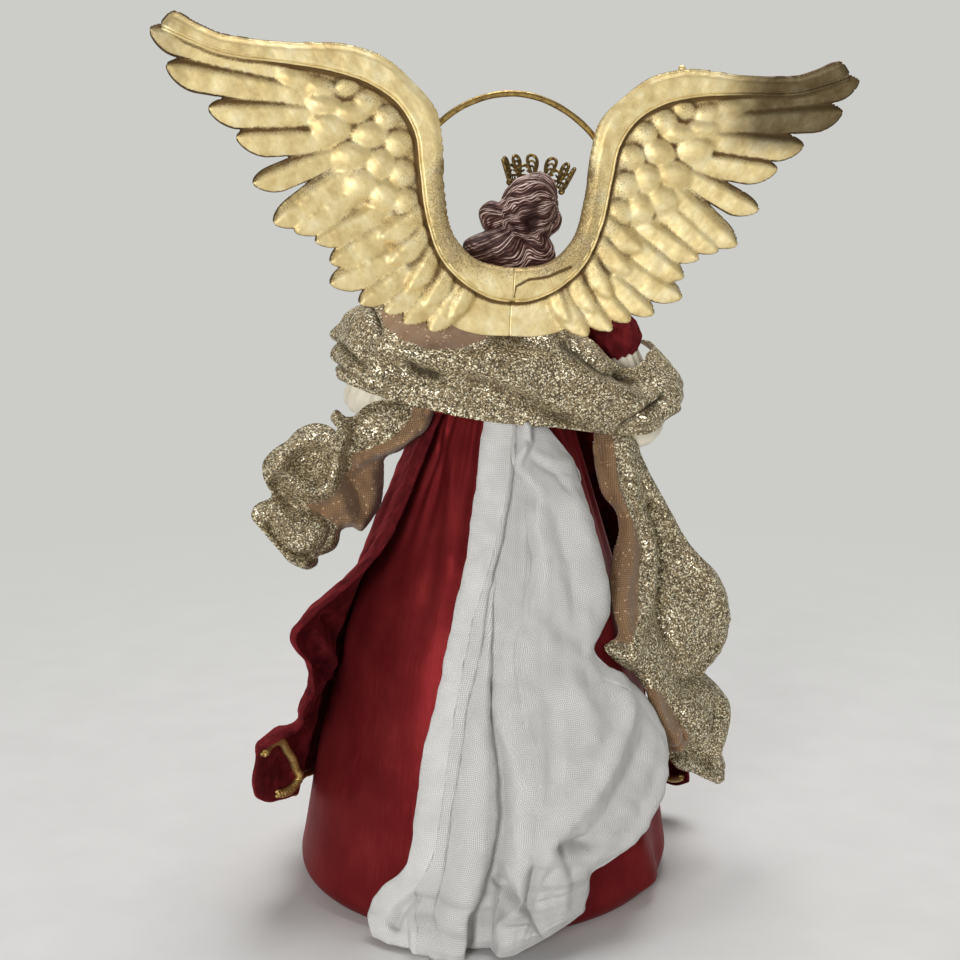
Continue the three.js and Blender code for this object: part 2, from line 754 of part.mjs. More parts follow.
// A place on the velvet by angle and height, moved off its inner face and down past the hem
function onVelvet(degrees, z, inner, down) {
  const j = clamp(velvetAngles.findIndex((d) => d > degrees) - 1, 0, velvetColumns - 2);
  const across = (degrees - velvetAngles[j]) / (velvetAngles[j + 1] - velvetAngles[j]);
  const hem = lerp(velvetGrid[0][j].z, velvetGrid[0][j + 1].z, across);
  const row = clamp((z - hem) / (velvetTop - hem), 0, 1) * (velvetRows - 1);
  const i = Math.min(Math.floor(row), velvetRows - 2);
  const [a, b] = [velvetGrid[i], velvetGrid[i + 1]].map((line) => line[j].clone().lerp(line[j + 1], across));
  const rise = b.clone().sub(a).normalize();
  const round = velvetGrid[i][j + 1].clone().sub(velvetGrid[i][j]);
  const inward = round.cross(rise).normalize();
  return a.clone().lerp(b, row - i).addScaledVector(inward, inner).addScaledVector(rise, -down);
}
const braidOff = BRAID_R + VELVET_T / 2 + 4 * GAP;
const braidTurn = [0.75, 0.4, 0].map((quarter, k) => {
  const degrees = lerp(BRAID_CORNER[BRAID_CORNER.length - 1][0], BRAID_UNDER_FROM_DEG, (k + 1) / 3);
  const a = (quarter * Math.PI) / 2;
  return onVelvet(degrees, 0, Math.sin(a) * braidOff, Math.cos(a) * braidOff);
});
const braidHem = velvetAngles.filter((d) => d > BRAID_UNDER_FROM_DEG + 2 && d < BRAID_TO_DEG);
const braidPath = [
  ...BRAID_CORNER.map(([degrees, z]) => onVelvet(degrees, z, braidOff, 0)),
  ...braidTurn,
  ...braidHem.map((degrees) => onVelvet(degrees, 0, 0, braidOff)),
];
add("gold_braid", wire(braidPath, BRAID_R, 56, 5), BRASS);

// Linen train: a sheet between its left and right edges, laid on the skirt and folded
const edgeCurve = (points) => new THREE.CatmullRomCurve3(points, false, "centripetal");
const trainZ = (s) => lerp(TRAIN_FOOT_Z + LINEN_T, TRAIN_TOP_Z, s);
const leftEdge = edgeCurve(TRAIN_EDGES.map(([x, s]) => v3(x, 0, trainZ(s))));
const rightEdge = edgeCurve(TRAIN_EDGES.map(([, , x, s]) => v3(x, 0, trainZ(s))));
function trainPoint(t, v) {
  const p = leftEdge.getPoint(t).lerp(rightEdge.getPoint(t), v);
  const fold = LINEN_FOLD_DEPTH * through(TRAIN_FOLDS, v) * lerp(LINEN_TOP_FOLD_SHARE, 1, t);
  return v3(p.x, behindSkirt(p.x, p.z, LINEN_STANDOFF + LINEN_T / 2 + fold), p.z);
}
const [trainRows, trainColumns] = TRAIN_GRID;
const trainGrid = range(trainRows).map((i) =>
  range(trainColumns).map((j) => trainPoint(share(i, trainRows), share(j, trainColumns))),
);
add("linen_train", sheet(trainGrid, LINEN_T), LINEN);

// Cord that ties the three skirts at the waist
const tieFold = LINEN_FOLD_DEPTH * lerp(LINEN_TOP_FOLD_SHARE, 1, TIE_BELOW_WAIST / TRAIN_TOP_Z);
const tieOffset = LINEN_STANDOFF + LINEN_T + tieFold + PLEAT_DEPTH + TIE_R + 4 * GAP;
const tieRings = range(AROUND).map((j) => {
  const angle = (2 * Math.PI * j) / AROUND;
  const centre = skirtPoint(SKIRT_TOP_Z - TIE_BELOW_WAIST, angle, tieOffset);
  const outward = v3(Math.sin(angle), Math.cos(angle), 0);
  return range(5).map((k) => {
    const a = (2 * Math.PI * k) / 5;
    return centre.clone().addScaledVector(outward, Math.cos(a) * TIE_R).add(v3(0, 0, Math.sin(a) * TIE_R));
  });
});
add("waist_tie", loft(tieRings, true), BRASS);

// Frames of the wings, the head and the coronet
const wingFrame = new THREE.Group();
wingFrame.position.set(WING_X, WING_FRONT_Y, TORSO_TOP_Z - WING_BELOW_TORSO_TOP);
wingFrame.rotation.y = rad(WING_ROLL_DEG);
root.add(wingFrame);
const headFrame = new THREE.Group();
headFrame.position.copy(torsoTop).z += BUST_H / 2;
headFrame.rotation.set(0, rad(HEAD_TILT_DEG), rad(HEAD_TURN_DEG));
root.add(headFrame);
const coronetFrame = new THREE.Group();
coronetFrame.position.copy(fromTorsoTop(CORONET_AT));
coronetFrame.rotation.y = rad(CORONET_TILT_DEG);
root.add(coronetFrame);
root.updateMatrixWorld(true);

// Torso, velvet bodice and the wing socket let into the back
const torsoRing = ([rise, w, d], grow = 0) => {
  const z = lerp(TORSO_FOOT_Z, TORSO_TOP_Z, rise);
  return range(24).map((j) => {
    const a = (2 * Math.PI * j) / 24;
    return v3(axisX(z) + Math.sin(a) * (w + grow), Math.cos(a) * (d + grow), z);
  });
};
const torsoAt = (height) => {
  const above = TORSO_RINGS.findIndex((ring) => ring[0] > height);
  const k = above < 1 ? TORSO_RINGS.length - 1 : above;
  const [a, b] = [TORSO_RINGS[k - 1], TORSO_RINGS[k]];
  const t = (height - a[0]) / (b[0] - a[0]);
  return [height, lerp(a[1], b[1], t), lerp(a[2], b[2], t)];
};
const bodiceRings = [
  torsoAt(BODICE_FROM_SHARE),
  ...TORSO_RINGS.filter(([s]) => s > BODICE_FROM_SHARE && s < BODICE_TO_SHARE),
  torsoAt(BODICE_TO_SHARE),
];
const bodiceOuter = bodiceRings.map((r) => torsoRing(r, GAP + BODICE_T));
const bodiceInner = [...bodiceRings].reverse().map((r) => torsoRing(r, GAP));
const bodice = loft([...bodiceOuter, ...bodiceInner], true);
const socketSize = [TONGUE_W + 2 * SOCKET_WALL, SOCKET_DEPTH, TONGUE_H + 2 * SOCKET_WALL];
const socketCentre = [0, SOCKET_BACK_Y - WING_FRONT_Y + SOCKET_DEPTH / 2, -TONGUE_DROP];
const grown = (size, by) => size.map((s) => s + 2 * by);
const socketBlock = (by) => box(grown(socketSize, by), socketCentre);
const tongueSize = [TONGUE_W, TONGUE_REACH, TONGUE_H];
const tongueCentre = [0, GAP + TONGUE_REACH / 2, -TONGUE_DROP];
const tongue = (by) => box(grown(tongueSize, by), tongueCentre);
const inWingFrame = (geometry) => placed(geometry, wingFrame.matrixWorld);

// Shoulder wire: one bent rod through the torso, from elbow to elbow
const shoulders = { left: fromTorsoTop(LEFT_SHOULDER), right: fromTorsoTop(RIGHT_SHOULDER) };
const elbows = { left: fromTorsoTop(LEFT_ELBOW), right: fromTorsoTop(RIGHT_ELBOW) };
function wireEnd(side) {
  const length = elbows[side].distanceTo(shoulders[side]);
  return elbows[side].clone().lerp(shoulders[side], (ELBOW_BALL_R + WIRE_OFF_ELBOW) / length);
}
function chestWire(side) {
  const { z } = shoulders[side];
  return v3(axisX(z), -2 * POST_R - WIRE_R, z - WIRE_DIP).lerp(shoulders[side], WIRE_CHEST_SHARE);
}
const wirePath = ["left", "right"].flatMap((side, k) => {
  const bend = shoulders[side].clone().add(v3(0, 0, -WIRE_BELOW_SHOULDER));
  const points = [wireEnd(side), bend, chestWire(side)];
  return k ? points.reverse() : points;
});
const wirePoints = (grow) => wire(wirePath, WIRE_R + grow, 24);
const wireBore = wirePoints(GAP);
add("shoulder_wire", wirePoints(0), STEEL);

const tongueSlot = inWingFrame(tongue(GAP));
const socketSlot = inWingFrame(socketBlock(GAP));
const stuffing = loft(TORSO_RINGS.map((r) => torsoRing(r)));
add("torso", cut(stuffing, postBore, wireBore, socketSlot, tongueSlot), BATTING);
add("velvet_bodice", cut(bodice, wireBore, socketSlot, tongueSlot), VELVET);
add("wing_socket", cut(socketBlock(0), tongue(GAP)), WOOD, wingFrame);

// Arms: velvet shoulder puff and cream sleeve fixed to the torso, forearm and hand turning at the elbow
const bodiceGrown = loft(TORSO_RINGS.map((r) => torsoRing(r, 2 * GAP + BODICE_T)));
function forearmAxis(side, lift = 0) {
  const inward = rad(FOREARM_INWARD_DEG) * (side === "left" ? 1 : -1);
  const up = rad(FOREARM_UP_DEG);
  const direction = v3(Math.sin(inward) * Math.cos(up), Math.cos(inward) * Math.cos(up), Math.sin(up));
  return direction.applyAxisAngle(v3(1, 0, 0), rad(lift));
}
const puffSolid = (side, grow) => ellipsoid(shoulders[side], [PUFF_R, PUFF_R, PUFF_R * 0.9], grow);
function sleeveSolid(side, grow) {
  const foot = elbows[side].clone().lerp(shoulders[side], -0.26);
  const profile = [
    [0, SLEEVE_TOP_R],
    [0.45, (SLEEVE_TOP_R + SLEEVE_ELBOW_R) / 2],
    [0.68, SLEEVE_ELBOW_R],
    [0.84, SLEEVE_ELBOW_R],
    [0.94, SLEEVE_ELBOW_R * 0.8],
    [1, SLEEVE_ELBOW_R * 0.4],
  ];
  return limb(shoulders[side], foot, profile.map(([rise, radius]) => [rise, radius + grow]));
}
function arm(side) {
  const elbow = elbows[side];
  add(`shoulder_puff_${side}`, cut(puffSolid(side, 0), bodiceGrown, wireBore), VELVET);

  const ball = ellipsoid(elbow, [ELBOW_BALL_R, ELBOW_BALL_R, ELBOW_BALL_R], ELBOW_PLAY);
  const lifts = range(6).map((k) => lerp(ELBOW_DOWN_DEG, ELBOW_UP_DEG, k / 5));
  const swing = lifts.map((lift) => {
    const far = elbow.clone().addScaledVector(forearmAxis(side, lift), 2 * SLEEVE_ELBOW_R);
    return bar(elbow, far, FOREARM_R + ELBOW_PLAY);
  });
  const sleeve = cut(sleeveSolid(side, 0), puffSolid(side, GAP), bodiceGrown, wireBore, ball, ...swing);
  add(`sleeve_${side}`, sleeve, CREAM);

  const along = forearmAxis(side);
  const at = (length) => elbow.clone().addScaledVector(along, length);
  const forearm = join(
    ellipsoid(elbow, [ELBOW_BALL_R, ELBOW_BALL_R, ELBOW_BALL_R]),
    limb(elbow, at(FOREARM_L), [[0, FOREARM_R], [0.7, FOREARM_R], [1, WRIST_R]]),
  );
  const innerWire = [at(ELBOW_BALL_R / 2), at(FOREARM_L + HAND_L * 0.3)];
  const innerBore = bar(at(ELBOW_BALL_R / 2 - GAP), at(FOREARM_L + HAND_L * 0.3 + GAP), WIRE_R + GAP, 8);
  add(`forearm_${side}`, cut(forearm, innerBore), CREAM);
  add(`forearm_wire_${side}`, bar(...innerWire, WIRE_R, 8), STEEL);
  add(`hand_${side}`, cut(handSolid(side, at(FOREARM_L + GAP), along), innerBore), SKIN);
}

// A relaxed hand: wrist stub, palm with closed fingers, and the thumb set apart
function handSolid(side, wrist, along) {
  const inner = side === "left" ? 1 : -1;
  const turn = new THREE.Quaternion().setFromUnitVectors(v3(0, 1, 0), along);
  const local = (x, y, z) => v3(x, y, z).applyQuaternion(turn).add(wrist);
  const palm = limb(wrist, local(0, HAND_L, 0), PALM);
  const flat = new THREE.Matrix4()
    .makeTranslation(wrist)
    .multiply(new THREE.Matrix4().makeRotationFromQuaternion(turn))
    .multiply(new THREE.Matrix4().makeScale(HAND_T, 1, HAND_W))
    .multiply(new THREE.Matrix4().makeRotationFromQuaternion(turn.clone().invert()))
    .multiply(new THREE.Matrix4().makeTranslation(wrist.clone().negate()));
  const thumb = limb(local(0, HAND_L * 0.22, HAND_W * 0.2), local(inner * 3, HAND_L * 0.62, HAND_W * 0.62), [
    [0, 2.4],
    [0.6, 2.2],
    [1, 1.2],
  ]);
  return join(placed(palm, flat), thumb);
}
["left", "right"].forEach(arm);

// Head with neck and bust plate, sculpted hair, and an open coronet
const headCentre = v3(0, HEAD_FORWARD, NECK_H + HEAD_TALL / 2 - BUST_H / 2);
const headRadii = [HEAD_W / 2, HEAD_D / 2, HEAD_TALL / 2];
const headBall = (grow) => ellipsoid(headCentre, headRadii, grow, 14, 10);
const bust = (grow) =>
  loft(
    [[0, 1], [0.5, 0.92], [1, 0.45]].map(([height, wide]) => {
      const z = TORSO_TOP_Z + GAP + height * (BUST_H + grow);
      const radius = BUST_R * wide + grow;
      return range(20).map((j) => {
        const a = (2 * Math.PI * j) / 20;
        return v3(axisX(z) + Math.sin(a) * radius, Math.cos(a) * radius * BUST_DEPTH_SHARE, z);
      });
    }),
  );
const inHeadFrame = (geometry) => placed(geometry, headFrame.matrixWorld);
const neck = (foot, grow) => bar(v3(0, 0, foot), headCentre.clone().setY(HEAD_FORWARD / 2), NECK_R + grow);
add("head", cut(join(bust(0), inHeadFrame(neck(-BUST_H / 4, 0)), inHeadFrame(headBall(0))), postBore), SKIN);

const hairCentre = headCentre.clone().add(v3(0, -HAIR_BACK, HAIR_BACK / 3));
const hairCap = (grow) => ellipsoid(hairCentre, headRadii, HAIR_T + grow, 14, 10);
const hairFalls = HAIR_MASSES.map(([centre, radii]) => ellipsoid(v3(...centre), radii, 0, 10, 7));
const windowSize = [2 * HEAD_W, HEAD_D, 1.5 * HEAD_TALL];
const faceWindow = box(windowSize, [0, FACE_BACK + HEAD_D / 2, headCentre.z - 0.55 * HEAD_TALL]);
const bustGrown = placed(bust(2 * GAP), headFrame.matrixWorld.clone().invert());
const hair = cut(join(hairCap(0), ...hairFalls), headBall(GAP), neck(-BUST_H, GAP), faceWindow, bustGrown);
add("hair", hair, HAIR, headFrame);

function coronet() {
  const half = rad(CORONET_ARC_DEG) / 2;
  const rim = (a, z) => {
    const [wide, deep] = CORONET_R.map((radius) => radius + CORONET_FLARE * z);
    return v3(Math.sin(a) * wide, Math.cos(a) * deep, z + CORONET_FRONT_RISE * Math.cos(a));
  };
  const band = range(17).map((k) => [0, CORONET_BAND_H].map((z) => rim(lerp(-half, half, k / 16), z)));
  const loops = range(CORONET_LOOPS).map((k) => {
    const a = lerp(-half, half, (k + 0.5) / CORONET_LOOPS);
    const loop = new THREE.TorusGeometry(CORONET_LOOP_R, CORONET_WIRE_R, 4, 8);
    loop.scale(0.8, 1.4, 1).rotateX(Math.PI / 2 - Math.atan(CORONET_FLARE)).rotateZ(-a);
    const middle = rim(a, CORONET_BAND_H + CORONET_LOOP_R * 1.2);
    return loop.translate(middle.x, middle.y, middle.z);
  });
  return join(sheet(band, CORONET_BAND_T), ...loops);
}
const toCoronet = coronetFrame.matrixWorld.clone().invert().multiply(headFrame.matrixWorld);
const hairTools = [hairCap(GAP), headBall(2 * GAP)].map((tool) => placed(tool, toCoronet));
add("coronet", cut(coronet(), ...hairTools), BRASS, coronetFrame);

// Wings: a thick band, a panel and the flight feathers
const splinePoints = (points, count) =>
  new THREE.SplineCurve(points.map(([x, z]) => new THREE.Vector2(x, z))).getPoints(count);
function plate(outline, thickness, frontY) {
  const shape = new THREE.Shape(outline);
  const geometry = new THREE.ExtrudeGeometry(shape, { depth: thickness, bevelEnabled: false });
  return geometry.rotateX(Math.PI / 2).translate(0, frontY, 0);
}
function feather([rootX, rootZ, tipX, tipZ, width], layer) {
  const length = Math.hypot(tipX - rootX, tipZ - rootZ);
  const blade = new THREE.Shape();
  blade.moveTo(0, -width * 0.4);
  blade.quadraticCurveTo(length * 0.75, -width * 0.62, length, -width * 0.08);
  blade.quadraticCurveTo(length * 0.98, width * 0.34, length * 0.8, width * 0.5);
  blade.lineTo(0, width * 0.4);
  const settings = { depth: FEATHER_T, bevelEnabled: false, curveSegments: 4 };
  const geometry = new THREE.ExtrudeGeometry(blade, settings);
  geometry.rotateZ(Math.atan2(tipZ - rootZ, tipX - rootX)).translate(rootX, rootZ, 0);
  return geometry.rotateX(Math.PI / 2).translate(0, layer, 0);
}
const swept = (x) => -WING_SWEEP * (x / WING_HALF_SPAN) ** 2;
function wing(side) {
  const bead = splinePoints(BEAD, 22);
  const panel = plate([...bead, ...splinePoints(PANEL_FOOT, 18).slice(1)], WING_T, 0);
  const band = plate([...splinePoints(LEADING_EDGE, 24), ...[...bead].reverse()], WING_BAND_T, 0);
  const layers = FEATHERS.map((f, k) => feather(f, -FEATHER_SINK[k % 2]));
  const seam = box([GAP, 4 * WING_BAND_T, 3 * WING_HALF_SPAN], [0, 0, 0]);
  const flat = cut(join(panel, band, ...layers), seam);
  const position = flat.attributes.position;
  for (let i = 0; i < position.count; i++) {
    const x = position.getX(i) * (side === "left" ? 1 + WING_STRETCH : 1 - WING_STRETCH);
    position.setY(i, position.getY(i) + swept(x));
    position.setX(i, side === "left" ? -x : x);
  }
  if (side === "left") flat.setIndex(new THREE.BufferAttribute(flat.index.array.slice().reverse(), 1));
  return flat;
}
add("wing_left", wing("left"), GILT, wingFrame);
add("wing_right", wing("right"), GILT, wingFrame);
add("wing_tongue", tongue(0), WOOD, wingFrame);

const haloY = GAP + HALO_WIRE_R;
const haloHoop = new THREE.TorusGeometry(HALO_R, HALO_WIRE_R, 6, 36).rotateX(Math.PI / 2);
add("halo", haloHoop.translate(HALO_X, haloY + GAP, HALO_ABOVE_FRAME), BRASS, wingFrame);

[-1, 1].forEach((side) => {
  const x = HALO_X + side * HALO_R;
  const back = swept(Math.abs(x) - HALO_PAD[0] / 2) + GAP;
  const pad = box([HALO_PAD[0], GAP - back, HALO_PAD[1]], [x, (GAP + back) / 2, HALO_ABOVE_FRAME]);
  add(side < 0 ? "halo_pad_left" : "halo_pad_right", pad, GILT, wingFrame);
});

// Stole: the wrap runs round the back and the outside of both arms
const along = (values, t) =>
  new THREE.SplineCurve(values.map((z, i) => new THREE.Vector2(i, z))).getPoint(t).y;
const rounded = (value) => Math.sign(value) * Math.abs(value) ** 0.75;
function wrapPoint(s, v) {
  const a = rad(lerp(-WRAP_REACH_DEG, WRAP_REACH_DEG, s));
  const tuck = WRAP_TOP_TUCK * smoothstep(v, 0.55, 1);
  const fold = WRAP_FOLD * Math.sin(2 * Math.PI * (1.5 * v + 0.9 * s));
  const out = WRAP_BULGE * Math.sin(Math.PI * v) - tuck + fold;
  const x = WRAP_X + WRAP_HALF_W * rounded(Math.sin(a)) + out * Math.sin(a);
  const y = WRAP_SIDE_Y + (WRAP_BACK_Y - WRAP_SIDE_Y) * rounded(Math.cos(a)) - out * Math.cos(a);
  return v3(x, y, TORSO_TOP_Z + lerp(along(WRAP_LOWER, s), along(WRAP_UPPER, s), v));
}
const [wrapRows, wrapColumns] = WRAP_GRID;
const wrapGrid = range(wrapRows).map((i) =>
  range(wrapColumns).map((j) => wrapPoint(share(i, wrapRows), share(j, wrapColumns))),
);
const armsGrown = ["left", "right"].flatMap((side) => [puffSolid(side, 2 * GAP), sleeveSolid(side, 2 * GAP)]);
const tonguePass = inWingFrame(tongue(CLOTH_GAP));
add("stole_wrap", cut(sheet(wrapGrid, STOLE_T), bodiceGrown, ...armsGrown, tonguePass), GLITTER);

// Tails: each is a sheet between its two edges, swelled and rolled away from the skirt
function swell(x, z, domes, rolls) {
  let out = 0;
  for (const [cx, cz, wide, tall, height] of domes) {
    const r = Math.hypot((x - cx) / wide, (z - cz) / tall);
    out = Math.max(out, height * Math.sqrt(Math.max(0, 1 - r * r)));
  }
  for (const [wide, height, line] of rolls) out += height * Math.exp(-((lineGap(x, z, line) / wide) ** 2));
  return out;
}
function tail(elbow, edges, [rows, columns], depthAt, [domes, rolls]) {
  const [first, second] = edges.map((edge) => edgeCurve(edge.map(([x, z]) => v3(x, 0, z))));
  const point = (t, v) => {
    const [p, q] = [first.getPoint(t), second.getPoint(t)];
    const inset = Math.min(v, 1 - v) * p.distanceTo(q);
    const curl = TAIL_RIM * (1 - smoothstep(inset, 0, TAIL_RIM)) ** 1.5;
    p.lerp(q, v);
    const out = swell(p.x, p.z, domes, rolls) - curl;
    p.add(elbow);
    p.y = depthAt(p.x, p.z) - out;
    return p;
  };
  const grid = range(rows).map((i) => range(columns).map((j) => point(share(i, rows), share(j, columns))));
  return cut(sheet(grid, STOLE_T), ...armsGrown);
}
function leftTailDepth(x, z) {
  const beside = smoothstep(x - elbows.left.x, ...LEFT_PANEL_ACROSS);
  const below = 1 - smoothstep(z - elbows.left.z, ...LEFT_PANEL_DOWN);
  return LEFT_TAIL_Y + LEFT_PANEL_STEP * beside * below;
}
function rightTailDepth(x, z) {
  const reach = skirtRadius(z) + PLEAT_DEPTH + RIGHT_TAIL_STANDOFF;
  const turnX = axisX(z) + RIGHT_TAIL_TURN * reach;
  const free = RIGHT_TAIL_SLOPE * Math.max(x - turnX, 0);
  const laid = behindSkirt(Math.min(x, turnX), z, RIGHT_TAIL_STANDOFF) + free;
  const soft = (y) => Math.exp(-y / RIGHT_TAIL_BLEND);
  return -RIGHT_TAIL_BLEND * Math.log(soft(laid) + soft(RIGHT_TAIL_Y));
}
const leftEdges = [LEFT_TAIL_TOP, LEFT_TAIL_FOOT];
const leftSwells = [LEFT_TAIL_DOMES, LEFT_TAIL_ROLLS];
const leftTail = tail(elbows.left, leftEdges, LEFT_TAIL_GRID, leftTailDepth, leftSwells);
add("stole_tail_left", leftTail, GLITTER);
const rightEdges = [RIGHT_TAIL_INNER, RIGHT_TAIL_OUTER];
const rightSwells = [RIGHT_TAIL_DOMES, RIGHT_TAIL_ROLLS];
const rightTail = tail(elbows.right, rightEdges, RIGHT_TAIL_GRID, rightTailDepth, rightSwells);
add("stole_tail_right", rightTail, GLITTER);

export default root;
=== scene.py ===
"""Angel tree topper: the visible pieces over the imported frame.

Lengths are in millimetres until a piece's mesh is made. The figure faces +Y, so its back is on the -Y side.
"""
import math

import bmesh
import bpy
import numpy as np
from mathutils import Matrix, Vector


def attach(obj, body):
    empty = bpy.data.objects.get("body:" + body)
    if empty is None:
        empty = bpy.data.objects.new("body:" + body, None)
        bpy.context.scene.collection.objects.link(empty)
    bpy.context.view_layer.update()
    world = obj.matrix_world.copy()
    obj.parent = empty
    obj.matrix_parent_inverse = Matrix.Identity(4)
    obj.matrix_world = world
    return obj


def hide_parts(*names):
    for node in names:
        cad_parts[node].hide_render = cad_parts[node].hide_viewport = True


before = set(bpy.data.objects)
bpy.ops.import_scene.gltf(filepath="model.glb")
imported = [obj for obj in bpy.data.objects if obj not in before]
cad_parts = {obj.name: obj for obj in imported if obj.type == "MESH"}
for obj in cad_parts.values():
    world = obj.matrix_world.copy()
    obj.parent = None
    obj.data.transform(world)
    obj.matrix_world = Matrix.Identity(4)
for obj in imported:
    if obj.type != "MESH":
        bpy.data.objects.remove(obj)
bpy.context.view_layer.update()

MM = 0.001
TURN = 2 * math.pi

# Stance and skirt, as in the part's source
BASE_X = -8.5
LEAN = 0.037
TORSO_FOOT_Z = 204.6
TORSO_TOP_Z = 294.6
SKIRT_TOP_Z = 240.6
WAIST_R = 33.5
WAIST_DEPTH_SHARE = 0.84
HEM_R = 97
BELL = 0.13
TUCK_H = 12
TUCK_IN = 8.5
PLEATS = 8
PLEAT_DEPTH = 1.6
SATIN_THICK, VELVET_THICK, LINEN_THICK, STOLE_THICK = 0.8, 1.5, 0.9, 1.0


# Number helpers
def smooth(x, low, high):
    """A soft step from 0 at low to 1 at high."""
    t = np.clip((np.asarray(x, float) - low) / (high - low), 0, 1)
    return t * t * (3 - 2 * t)


def mix(a, b, t):
    return a + (b - a) * t


def hump(x, width):
    return np.exp(-((x / width) ** 2))


def mound(x, wide, z, tall):
    return np.exp(-((x / wide) ** 2) - (z / tall) ** 2)


def unit(v):
    return v / np.linalg.norm(v, axis=-1, keepdims=True)


def bearings(count):
    return np.linspace(0, TURN, count, endpoint=False)


def spans(rows, columns, low=0, high=1):
    """A grid of places along a piece, from low to high, and of angles round it."""
    return np.meshgrid(np.linspace(low, high, rows), bearings(columns), indexing="ij")


def around(a, side, other):
    """Directions at the angles a in the plane of two crossed directions."""
    return np.cos(a)[..., None] * side + np.sin(a)[..., None] * other


def turned(x, z, angle):
    """Plane places turned clockwise by an angle."""
    c, s = math.cos(angle), math.sin(angle)
    return x * c + z * s, -x * s + z * c


def hermite(at, values, t):
    """A smooth line through values at the places at, read at t."""
    at = np.asarray(at, float)
    p = np.asarray(values, float)
    t = np.asarray(t, float)
    slope = np.gradient(p, at, axis=0)
    k = np.clip(np.searchsorted(at, t) - 1, 0, len(at) - 2)
    wide = (-1,) + (1,) * (p.ndim - 1)
    h = (at[k + 1] - at[k]).reshape(wide)
    s = ((t - at[k]) / (at[k + 1] - at[k])).reshape(wide)
    start = (1 + 2 * s) * (1 - s) ** 2 * p[k] + s * (1 - s) ** 2 * h * slope[k]
    end = s * s * (3 - 2 * s) * p[k + 1] + s * s * (s - 1) * h * slope[k + 1]
    return start + end


def table(pairs, x):
    """A smooth function through (x, y) pairs, level beyond its ends."""
    pairs = np.asarray(pairs, float)
    x = np.asarray(x, float)
    flat = np.clip(x, pairs[0, 0], pairs[-1, 0]).ravel()
    return hermite(pairs[:, 0], pairs[:, 1], flat).reshape(x.shape)


def curve(points, count):
    """Evenly spread points on a smooth line through the given ones."""
    p = np.asarray(points, float)
    for _ in range(2):
        step = np.linalg.norm(np.diff(p, axis=0), axis=1)
        at = np.concatenate([[0], np.cumsum(step)]) / step.sum()
        p = hermite(at, p, np.linspace(0, 1, count))
    return p


def lattice(points, rows, columns):
    """A smooth surface through a grid of points, sampled rows by columns."""
    p = np.asarray(points, float)
    for count in (rows, columns):
        p = hermite(np.linspace(0, 1, len(p)), p, np.linspace(0, 1, count)).swapaxes(0, 1)
    return p


def wobble(p, size, seed, waves=14):
    """Smooth noise of about unit height, with bumps of the given size."""
    rng = np.random.default_rng(seed)
    way = unit(rng.normal(size=(waves, 3)))
    pace = TURN / (size * rng.uniform(0.7, 1.6, waves))
    phase = rng.uniform(0, TURN, waves)
    return np.sin((p @ way.T) * pace + phase).sum(-1) / math.sqrt(waves)


def line_distance(q, line):
    """Distance of plane points q from a line of points, and the share of the line nearest to each."""
    line = np.asarray(line, float)
    best = np.full(q.shape[:-1], 1e9)
    share = np.zeros(q.shape[:-1])
    for k, (a, b) in enumerate(zip(line[:-1], line[1:])):
        along = b - a
        t = np.clip(((q - a) @ along) / (along @ along), 0, 1)
        gap = np.linalg.norm(q - a - t[..., None] * along, axis=-1)
        near = gap < best
        best = np.where(near, gap, best)
        share = np.where(near, (k + t) / (len(line) - 1), share)
    return best, share


def gap_to(q, line):
    return line_distance(q, line)[0]


def inside(q, loop):
    """True where a plane point lies inside a closed loop of points."""
    loop = np.asarray(loop, float)
    hit = np.zeros(q.shape[:-1], bool)
    x, y = q[..., 0], q[..., 1]
    for (ax, ay), (bx, by) in zip(loop, np.roll(loop, -1, axis=0)):
        if ay != by:
            hit ^= ((ay > y) != (by > y)) & (x < (bx - ax) * (y - ay) / (by - ay) + ax)
    return hit


def folds(p, forms):
    """Height at surface points p of soft folds, each a width, a height and a line of (x, z) points.

    A fold rises over the first sixth of its line and sinks over the last.
    """
    total = 0
    for width, high, line in forms:
        gap, share = line_distance(p[..., [0, 2]], line)
        total = total + high * hump(gap, width) * np.clip(np.minimum(share, 1 - share) * 6, 0.15, 1)
    return total


def normals(grid):
    n = np.cross(np.gradient(grid, axis=0), np.gradient(grid, axis=1))
    return n / np.maximum(np.linalg.norm(n, axis=-1, keepdims=True), 1e-9)


def rearward(n):
    return n * np.where(n[..., 1:2] > 0, -1, 1)


# Mesh makers. A tube, a cord and a limb find their sides from a direction that none of them runs along.
TUBE_OFF, CORD_OFF, LIMB_OFF = [0.31, 0.27, 0.91], [0.12, 0.05, 1.0], [0.3, 0.2, 0.93]


